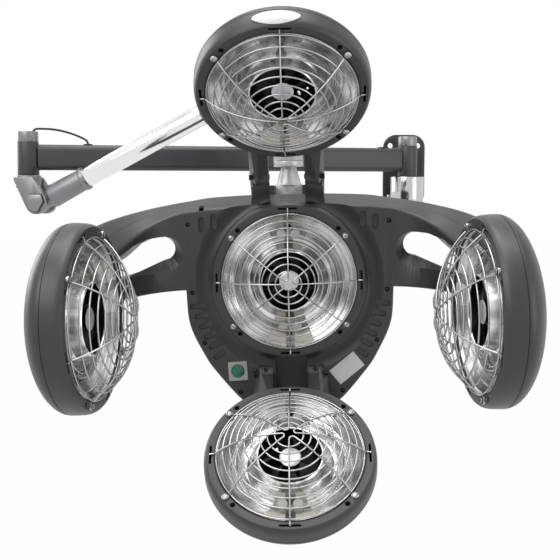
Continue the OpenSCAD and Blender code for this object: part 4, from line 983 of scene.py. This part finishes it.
screw_places = [(s * x, z) for x, z in ((125, 71.5), (122, -14), (108, -77.5), (64, -141)) for s in (-1, 1)]
front_cover = lofted("hub_front_cover_piece", cover_rings(0, 0.4985, 3.0, 0.4))
carved(front_cover, grip_bevels())
carved(front_cover, grip_cutters())
cavity = lofted("cavity", cover_rings(0.24, 0.52, 0.3, 0.3, inset=3, count=len(shield_rows) - 1))
carved(front_cover, [cavity])
carved(front_cover, hub_pin_bores(11, -16, 64), "UNION")
carved(front_cover, posts(TOP_HINGE, (37, 97), (-1, 0)), "UNION")
carved(front_cover, posts(BOTTOM_HINGE, (27, -115), (-1, 0)), "UNION")
groove = turned("groove", [(98.2, 0), (124, 0), (124, -20.4), (121, -20.9), (117, -22.6), (111, -25.6),
                           (105, -27.2), (102, -27), (99.8, -25.6), (98.2, -25), (98.2, 0)], filled=False)
carved(front_cover, [moved(groove, front_face)])
carved(front_cover, [through(round_outline(85, steps=96), -20, 57)])
for low, radius in ((33.7, KNUCKLE_GAP_R), (20, PIN_BORE_R)):
    carved(front_cover, bars(low, 48, radius, *TOP_HINGE) + bars(low, 48, radius, *BOTTOM_HINGE))
carved(front_cover, hub_pin_bores(12, LEAF_LOW, LEAF_TOP))
carved(front_cover, hub_pin_bores(PIN_BORE_R))
tools = [through(round_outline(2.9, place), 10, 41.5) for place in screw_places]
for s in (-1, 1):
    tools += [through(capsule(20, 3.9, (s * x, z), 90), 17, 26) for x, z in ((108, 71), (93, 74.5))]
    for t in [i / 5 for i in range(6)]:
        vent = capsule(17.5, 3.8, (s * mix(90, 117, t), mix(-93, -31, t)), s * mix(-35, -5, t))
        tools.append(through(vent, 17, 24.5))
tools.append(through([(-67 + x, -114 + z) for x, z in ((-10, -10), (10, -10), (10, 10), (-10, 10))], 10, 40))
tools.append(through([(-111, 88), (-105, 88), (-105, 115), (-111, 115)], 10, 34))
tools.append(through([(-20, -99), (-20, -142), (-14, -148), (14, -148), (20, -142), (20, -99)], 10, 28.5))
tools += [through(round_outline(2.8, (s * 30.5, z)), -12, -1) for s in (-1, 1) for z in (127, -108)]
carved(front_cover, tools)
rounded(sealed(front_cover), 0.6, 2, 42)
evened(front_cover)
moved(front_cover, hub_place)
in_dress(front_cover, "hub", charcoal, "dark_plastic", "hub_front_cover")

rear_cover = lofted("hub_rear_cover_piece", cover_rings(0.5, 1, 0.4, 5.0))
cavity = lofted("cavity", cover_rings(0.48, 0.935, 0.3, 0.3, inset=3, count=len(shield_rows) - 1))
carved(rear_cover, [cavity])
carved(rear_cover, hub_pin_bores(11.3))
carved(rear_cover, hub_pin_bores(13.1, LEAF_LOW, LEAF_TOP))
carved(rear_cover, grip_cutters())
carved(rear_cover, [through(slot, 50, 70) for slot in intake_slots])
rounded(sealed(rear_cover), 0.6, 2, 42)
evened(rear_cover)
moved(rear_cover, hub_place)
in_dress(rear_cover, "hub", charcoal, "dark_plastic", "hub_rear_cover")

# Push switch: a beige square surround that clips into the front cover, and a green domed button on a spring.
# The control board stands behind them, inside the hub.
beige = finish_of("switch_beige", (0.37, 0.355, 0.33), 0.45, grain=900, depth=0.00003)
in_dress(welded_copy("switch_bezel", 0.8), "hub", beige, slot_of["switch_bezel"], "switch_bezel")
button_green = finish_of("button_green", (0.012, 0.15, 0.08), 0.22, grain=900, depth=0.00001)
button = turned("power_button_piece", [(3, -15), (3, -6.2), (8, -6.2), (8, 1.6), (7.6, 2.6), (6.4, 3.1),
                                       (4, 3.25), (0, 3.3)], steps=64)
smooth_to(40)
moved(button, hub_place @ shift(-67, FRONT_Y, -114) @ turn(90, "X"))
in_dress(button, "button", button_green, slot_of["power_button"], "power_button")
board_green = finish_of("board_green", (0.03, 0.12, 0.05), 0.4, grain=300, depth=0.00005)
in_dress(welded_copy("control_board", 0.3), "hub", board_green, slot_of["control_board"], "control_board")

# Plates: a bare grey foil label stuck on the hub's right side, and a bare white oval that follows the curve
# on top of the top head's bezel.
label_grey = finish_of("label_foil", (0.50, 0.50, 0.49), 0.4, grain=300, depth=0.00004)
c, s = math.cos(math.radians(38.5)), math.sin(math.radians(38.5))
corners = ((-19.5, -11.25), (19.5, -11.25), (19.5, 11.25), (-19.5, 11.25))
label = through([(x * c - z * s + 70, x * s + z * c - 112.5) for x, z in corners], 20.6, FRONT_Y + 0.05)
label.name = label.data.name = "hub_label"
moved(label, hub_place)
in_dress(label, "hub", label_grey, "switch_plastic")
badge_white = finish_of("badge_white", (0.62, 0.62, 0.62), 0.3, grain=300, depth=0.00002)
bpy.ops.mesh.primitive_circle_add(vertices=64, radius=mm, fill_type="NGON", location=(0, 0, 0))
badge = bpy.context.object
badge.name = badge.data.name = "top_head_badge"
bpy.ops.object.mode_set(mode="EDIT")
bpy.ops.mesh.select_all(action="SELECT")
bpy.ops.mesh.inset(thickness=0.12 * mm)
for _ in range(3):
    bpy.ops.mesh.inset(thickness=0.2 * mm)
bpy.ops.mesh.extrude_region_move(TRANSFORM_OT_translate={"value": (0, 0, 0)})
bpy.ops.object.mode_set(mode="OBJECT")
for point in badge.data.vertices:
    u, v = point.co.x / mm, point.co.y / mm
    a, z = math.radians(92 - 14.8 * u), -9.8 + 8.7 * v - 1.8 * u * u
    r = 97.85 - 0.045 * max(0, z + 9.5) ** 2
    point.co = (r * math.cos(a) * mm, r * math.sin(a) * mm, z * mm)
step = badge.modifiers.new("wall", "SOLIDIFY")
step.thickness, step.offset = 0.8 * mm, 0
only(badge)
bpy.ops.object.modifier_apply(modifier=step.name)
moved(badge, head_places["top"])
in_dress(badge, "top_head", badge_white, "switch_plastic")
